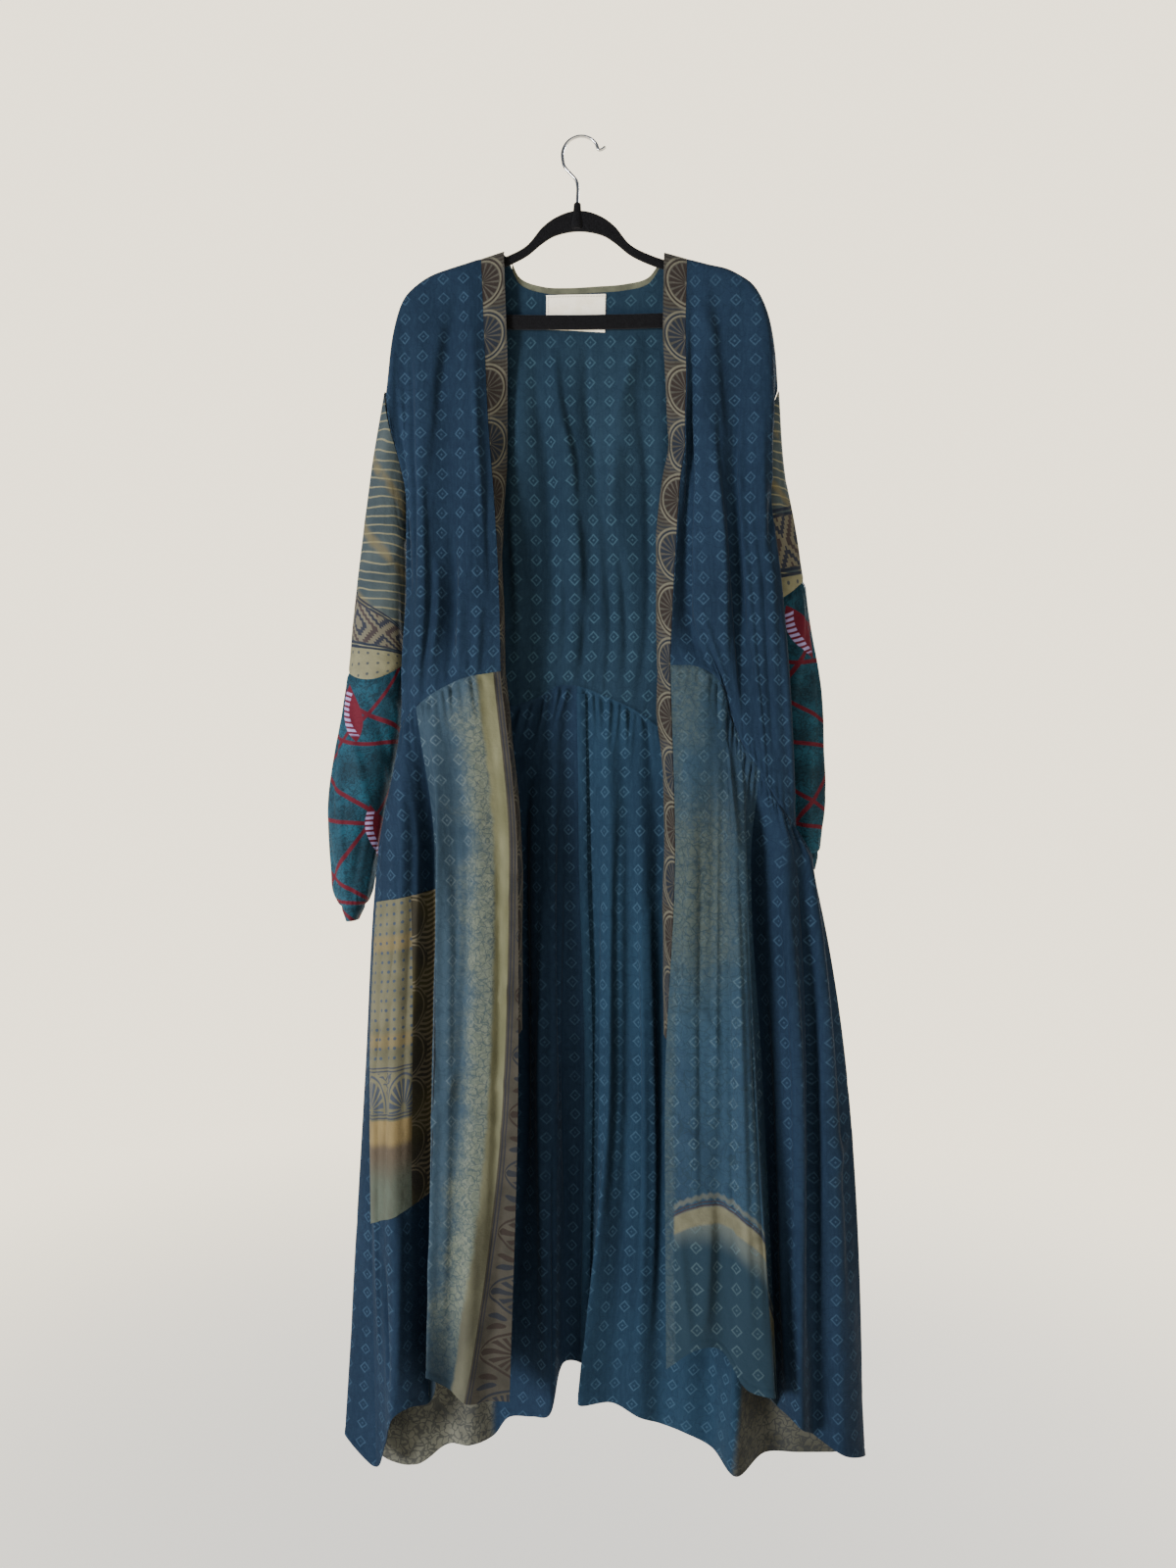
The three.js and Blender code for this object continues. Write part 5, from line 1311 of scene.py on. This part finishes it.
def patch_print(name):
    """Dotted beige cloth with yellow bars, a fan block, an ochre and a shaded end."""
    p = Paint(name)
    bars = p.most(p.within(p.v - 52, 9, 4), p.within(p.v - 168, 8, 4))
    ground = p.mix(bars * 0.5, p.cloudy(40, "504f40", "5c5a49", 71), "6c5e3f")
    du, dv = p.repeat(p.u + (p.noise(30, 1, 72) - 0.5) * 4, 10.8), p.repeat(p.v, 11.4)
    dots = p.within(p.hypot(du, dv), 1.9) * p.until(p.v, 194, 196)
    cloth = p.mix(dots * 0.85, ground, "2c3a4e")
    ink, _, disc = fan(p, 250 - p.v, p.repeat(p.u - 34, 50), 42, 23, 9)
    scroll = p.crackle(11, shift=73, thin=0.04, thick=0.12) * (1 - disc)
    block = p.smooth(p.v, 205, 207) * p.until(p.v, 253, 255)
    cloth = p.mix(p.most(ink * disc, scroll) * block * 0.85, cloth, "2f3747")
    lines = p.most(*[p.within(p.v - at, 0.9) for at in (200, 204, 256, 260)])
    cloth = p.mix(lines * 0.85, cloth, "2a3040")
    shade = p.mix(p.smooth(p.v, 300, 345), "4a4238", "464d45")
    tail = p.mix(p.smooth(p.v, 286, 298), "6e6042", shade)
    tail = p.mix(p.smooth(p.noise(14, 2, 74, 4), 0.4, 0.7) * 0.3, tail, "3a342c")
    cloth = p.mix(p.smooth(p.v, 262, 264), cloth, tail)
    _, pale, disc = fan(p, 50 - p.u, p.repeat(p.v, 54), 26, 25, 9)
    swirls = waves(p, p.u, p.v, 6.5) * (1 - disc)
    brown = p.mix(p.most(pale * disc, swirls) * 0.7,
                  p.cloudy(60, "2d2b27", "3d3926", 76), "686150")
    return p.finish(p.mix(p.until(p.u, 47, 48), cloth, brown))


def upper_sleeve_print(name, up, up_lean, low, low_lean):
    """Grey-green cloth with fine pale lines and stains, over a wedge of stepped key border."""
    p = Paint(name)
    ground = p.cloudy(60, "2f393f", "3f484b", 81)
    lines = p.within(p.repeat(p.v + p.u * 0.08 + (p.noise(50, 1, 82) - 0.5) * 12, 11), 0.9, 0.6)
    cloth = p.mix(lines * 0.6, ground, "827d61")
    stains = p.within(p.repeat(p.v + p.u * 0.8 + 12, 78), 7, 5)
    stains = stains * p.smooth(p.noise(30, 2, 83), 0.35, 0.6)
    cloth = p.mix(stains * 0.5, cloth, "6a5f3e")
    worn = p.within(p.v - 316, 10, 3) * p.smooth(p.noise(12, 2, 86), 0.4, 0.6)
    cloth = p.mix(worn * 0.7, cloth, "262d38")
    rise = p.v - up + p.u * up_lean
    w = rise / p.math("MAXIMUM", (low - up) + p.u * (up_lean - low_lean), 14) * 52
    step = 3.3
    along = abs(p.repeat(p.u + w * 0.35, 62))
    ring = p.math("FLOOR", along / step) + p.math("FLOOR", abs(w - 26) / step)
    key = p.smooth(p.repeat(ring + 0.5, 4.0), -0.1, 0.1)
    tint = p.smooth(p.repeat(ring + 0.5, 8.0), -0.1, 0.1)
    keyed = p.mix(key * 0.9, "5a574c", p.mix(tint, "1f2433", "332c30"))
    inside = p.smooth(w, 5, 6) * p.until(w, 46, 47)
    cloth = p.mix(inside, cloth, keyed)
    rails = p.most(*[p.within(w - at, 1.3) for at in (0.5, 4.5, 48, 52)])
    foot = p.cloudy(20, "64624f", "727059", 84)
    dots = p.within(p.hypot(p.repeat(p.u, 12), p.repeat(w, 13)), 1.7)
    foot = p.mix(dots * 0.85, foot, "2f3641")
    cloth = p.mix(p.smooth(w, 53, 54), cloth, foot)
    return p.finish(p.mix(rails * 0.9, cloth, "1c2130"))


def lower_sleeve_print(name, shift):
    """Teal crackle with maroon crossing lines and lens shapes barred with lavender."""
    p = Paint(name, roughness=0.75)
    ground = p.cloudy(45, "112b38", "1a4456", 91)
    ground = p.mix(p.crackle(7, wobble=0.8, shift=92, thin=0.02, thick=0.12) * 0.6, ground,
                   "091922")
    u, v = p.u + shift, p.v
    strokes = []
    for lean, pitch, offset in ((0.62, 92, 10), (-1.3, 104, 40), (0.12, 98, 66)):
        across = (v + u * lean + offset) / math.hypot(1, lean)
        strokes.append(p.within(p.repeat(across, pitch), 2.4, 0.4))
    cloth = p.mix(p.most(*strokes), ground, "4c1220")
    du, dv = p.repeat(u + v * 0.35 + 20, 112), p.repeat(v + 30, 150)
    bow = dv * dv * 0.011
    lens = p.smooth(du + 15 - bow, -0.5, 0.5) * p.until(du - 11 + bow, -0.5, 0.5)
    cloth = p.mix(lens, cloth, "521423")
    edge = p.both(p.smooth(du - 1 + bow, -0.5, 0.5), lens, p.until(abs(dv), 24, 28))
    bars = p.within(p.repeat(v, 6.2), 1.7)
    return p.finish(p.mix(edge * bars, cloth, "8a80aa"))


def plain_cloth(name, dark, light, line=None):
    """Cloudy cloth, with crackle lines if they have a colour."""
    p = Paint(name)
    colour = p.cloudy(14, dark, light, 101)
    if line:
        colour = p.mix(p.crackle(9, shift=102) * 0.4, colour, line)
    return p.finish(colour)


def label_cloth(name):
    """Cream tab, bare, with a stitched edge."""
    p = Paint(name, roughness=0.7)
    edge = p.math("MINIMUM", p.math("MINIMUM", p.u, 73 - p.u),
                  p.math("MINIMUM", p.v, 41 - p.v))
    dash = p.within(p.repeat(p.u + p.v, 3.4), 1.1, 0.3)
    stitch = p.within(edge - 2.4, 0.45, 0.2) * dash
    ground = p.cloudy(12, "f3ead5", "faf3e3", 111)
    return p.finish(p.mix(stitch * 0.6, ground, "a99c86"), stitch * 1.2)


def velvet():
    """Black flocked plastic."""
    p = Paint("velvet", roughness=0.95, sheen=0.6)
    set_inputs(p.shader, Specular_IOR_Level=0.1, Sheen_Tint=rgb("55555c"))
    fibre = p.object_noise(900, 3)
    p.put(p.mix(p.smooth(fibre, 0.35, 0.65), "08080a", "141417"),
          p.shader.inputs["Base Color"])
    return p.bumped(fibre, 0.3, 0.6)


def steel():
    """Bright wire with faint marks."""
    p = Paint("steel", roughness=0.22, sheen=0)
    set_inputs(p.shader, Metallic=1, Specular_IOR_Level=0.5)
    p.put(p.mix(p.object_noise(220, 4), "9b9b9d", "cfcfd0"), p.shader.inputs["Base Color"])
    return p.material


# ---------------------------------------------------------------- the robe
def make_cloth():
    """Every piece of cloth: skirt, bodice, bands, label, patch, allowance and sleeves."""
    skirt = {}
    for name, first, last, home, seed in (
            ("skirt_front_l", EDGE_L, VALLEY_L, 0, 11), ("skirt_side_l", VALLEY_L, SIDE_L, 0, 12),
            ("skirt_back_l", SIDE_L, CENTRE_BACK, -1, 13),
            ("skirt_back_r", CENTRE_BACK, SIDE_R, 0, 14),
            ("skirt_side_r", SIDE_R, VALLEY_R, -1, 15),
            ("skirt_front_r", VALLEY_R, EDGE_R, -1, 16)):
        sides = (first != EDGE_L, last != EDGE_R)
        skirt[name] = skirt_panel(name, first, last, home, seed, sides)
    left = bodice_panel("bodice_front_l", front_l, EDGE_L, SIDE_L, 21, lambda c: c >= EDGE_L)
    right = bodice_panel("bodice_front_r", front_r, SIDE_R, EDGE_R, 22, lambda c: c >= SIDE_R)
    behind = bodice_panel("bodice_back", back, SIDE_L, SIDE_R, 23,
                          lambda c: (c <= NECK_L) | (c >= NECK_R))
    front_band("band_front_l", left[0], skirt["skirt_front_l"][0], BAND_TURN_L, 1)
    front_band("band_front_r", right[-1], skirt["skirt_front_r"][-1], BAND_TURN_R, -1)
    columns = fine(SIDE_L, SIDE_R)
    neck_band(behind, columns)
    surface_piece("label", behind, columns, LABEL)
    joined = np.concatenate([skirt["skirt_front_l"][:-1], skirt["skirt_side_l"]])
    surface_piece("patch_side", joined, fine(EDGE_L, SIDE_L, SKIRT_STEP), PATCH)
    seam_allowance(skirt["skirt_back_r"])
    sleeve("l", 1, SLEEVE_L, START_L, front_l, SIDE_L, 31)
    sleeve("r", -1, SLEEVE_R, START_R, front_r, SIDE_R, 41)


def make_looks():
    """The right side and wrong side of every piece of cloth, and the hanger, by slot."""
    black = velvet()
    indigo = indigo_print("indigo_print", INDIGO)
    indigo_in = indigo_print("indigo_inside", INSIDE_INDIGO)
    wrong = wrong_side("indigo_wrong_side")
    slate = plain_cloth("slate_wrong_side", "363f41", "474f4d")
    teal_in = plain_cloth("teal_wrong_side", "142e39", "1f414c", "11232c")
    tan_in = plain_cloth("tan_wrong_side", "454237", "545144", "32302a")
    # Both insides are the same brown-grey cloth. The right one's darker brown is painted shade,
    # because that flank hangs in shadow; the left one's is the lit tone.
    back_in_l = inside_print("back_inside_l", INDIGO, -300, -125, 690, "46463f", "5f5f55")
    back_in_r = inside_print("back_inside_r", TEAL_INDIGO, 255, 600, 640, "34342e", "46463f")
    neck_in = plain_cloth("neck_band_in", "4c4e43", "5a5c4e")
    looks = {
        "indigo_cloth": {
            "skirt_front_l": (border_print("border_print"), wrong),
            "skirt_side_l": (indigo, wrong),
            "skirt_back_l": (indigo, back_in_l),
            "skirt_back_r": (indigo, back_in_r),
            "skirt_side_r": (indigo, wrong),
            "skirt_front_r": (shaded_print("shaded_print"), wrong),
            "bodice_front_l": (indigo, indigo_in),
            "bodice_front_r": (indigo, indigo_in),
            "bodice_back": (indigo, indigo_in),
            "allowance_back": (back_in_r, back_in_r),
        },
        "band_cloth": {
            "band_front_l": (fan_strip("fan_band_l"), tan_in),
            "band_front_r": (fan_strip("fan_band_r"), tan_in),
        },
        "slate_cloth": {
            "band_neck_back": (plain_cloth("neck_band", "454b43", "565b51"), neck_in),
            "sleeve_upper_l": (
                upper_sleeve_print("upper_sleeve_l", 567, 0.6, 614, 0.14), slate),
            "sleeve_upper_r": (
                upper_sleeve_print("upper_sleeve_r", 452, -0.2, 528, -0.2), slate),
        },
        "teal_cloth": {
            "sleeve_lower_l": (lower_sleeve_print("lower_sleeve_l", 0), teal_in),
            "sleeve_lower_r": (lower_sleeve_print("lower_sleeve_r", 30), teal_in),
            "cuff_l": (lower_sleeve_print("cuff_print_l", 50), teal_in),
            "cuff_r": (lower_sleeve_print("cuff_print_r", 20), teal_in),
        },
        "label_cloth": {"label": (slate, label_cloth("label_cloth"))},
        "beige_cloth": {"patch_side": (patch_print("patch_print"), tan_in)},
        "velvet": {"hanger_frame": (black,), "hanger_boss": (black,)},
        "steel": {"hanger_hook": (steel(),)},
    }
    for slot, members in looks.items():
        for name, materials in members.items():
            for material in materials:
                pieces[name].data.materials.append(material)


def declare():
    """Hides the solid that each piece stands in for, where it has one, and hangs every piece
    under the root body.
    """
    for name, obj in pieces.items():
        if name not in ("allowance_back", "hanger_boss"):
            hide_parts(name)
        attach(obj, "root")


# ---------------------------------------------------------------- camera, floor and light
def make_camera():
    yaw, pitch, roll = (math.radians(CAMERA[name]) for name in ("yaw", "pitch", "roll"))
    back_way = Vector((math.sin(yaw) * math.cos(pitch), -math.cos(yaw) * math.cos(pitch),
                       math.sin(pitch)))
    right = (-back_way).cross(Vector((0, 0, 1))).normalized()
    up = right.cross(-back_way)
    turned_right = right * math.cos(roll) + up * math.sin(roll)
    turned_up = up * math.cos(roll) - right * math.sin(roll)
    data = bpy.data.cameras.new("camera")
    data.lens = CAMERA["lens"]
    camera = placed("camera", data)
    turn = Matrix((turned_right, turned_up, back_way)).transposed()
    camera.matrix_world = Matrix.Translation(CAMERA["place"]) @ turn.to_4x4()
    bpy.context.scene.camera = camera


def make_floor():
    """A round pale floor that fades into the studio's walls away from the robe."""
    mesh = bpy.data.meshes.new("floor")
    rim = [(FLOOR["radius"] * math.cos(a), FLOOR["radius"] * math.sin(a), FLOOR["z"])
           for a in np.linspace(0, 2 * math.pi, 65)[:-1]]
    mesh.from_pydata(rim, [], [list(range(len(rim)))])
    floor = placed("floor", mesh)
    material = bpy.data.materials.new("floor")
    material.use_nodes = True
    nodes, links = material.node_tree.nodes, material.node_tree.links
    near = nodes["Principled BSDF"]
    set_inputs(near, Base_Color=FLOOR["colour"], Roughness=0.9)
    far = nodes.new("ShaderNodeEmission")
    set_inputs(far, Color=WALL_COLOUR, Strength=WALL_STRENGTH)
    where = nodes.new("ShaderNodeTexCoord")
    distance = nodes.new("ShaderNodeVectorMath")
    distance.operation = "LENGTH"
    fade = nodes.new("ShaderNodeMapRange")
    fade.interpolation_type = "SMOOTHSTEP"
    set_inputs(fade, From_Min=FLOOR["near"], From_Max=FLOOR["far"])
    blend = nodes.new("ShaderNodeMixShader")
    links.new(where.outputs["Object"], distance.inputs[0])
    links.new(distance.outputs["Value"], fade.inputs["Value"])
    links.new(fade.outputs["Result"], blend.inputs[0])
    links.new(near.outputs[0], blend.inputs[1])
    links.new(far.outputs[0], blend.inputs[2])
    links.new(blend.outputs[0], nodes["Material Output"].inputs["Surface"])
    mesh.materials.append(material)


def area_light(name, place, target, size, power, colour):
    data = bpy.data.lights.new(name, "AREA")
    data.shape = "DISK"
    data.size = size
    data.energy = power
    data.color = colour
    light = placed(name, data)
    light.location = place
    light.rotation_euler = (Vector(target) - Vector(place)).to_track_quat("-Z", "Y").to_euler()


def make_light():
    """Soft lamps in a pale studio, whose walls are paler to look at than they light."""
    world = bpy.data.worlds.new("studio")
    bpy.context.scene.world = world
    world.use_nodes = True
    nodes, links = world.node_tree.nodes, world.node_tree.links
    seen = nodes["Background"]
    set_inputs(seen, Color=WALL_COLOUR, Strength=WALL_STRENGTH)
    lit = nodes.new("ShaderNodeBackground")
    set_inputs(lit, Color=SKY_COLOUR, Strength=SKY_STRENGTH)
    ray = nodes.new("ShaderNodeLightPath")
    choice = nodes.new("ShaderNodeMixShader")
    links.new(ray.outputs["Is Camera Ray"], choice.inputs[0])
    links.new(lit.outputs[0], choice.inputs[1])
    links.new(seen.outputs[0], choice.inputs[2])
    links.new(choice.outputs[0], nodes["World Output"].inputs["Surface"])
    for lamp in LAMPS:
        area_light(*lamp)


make_camera()
make_cloth()
hook_wire()
hanger_plate()
hanger_boss()
make_looks()
declare()
make_floor()
make_light()
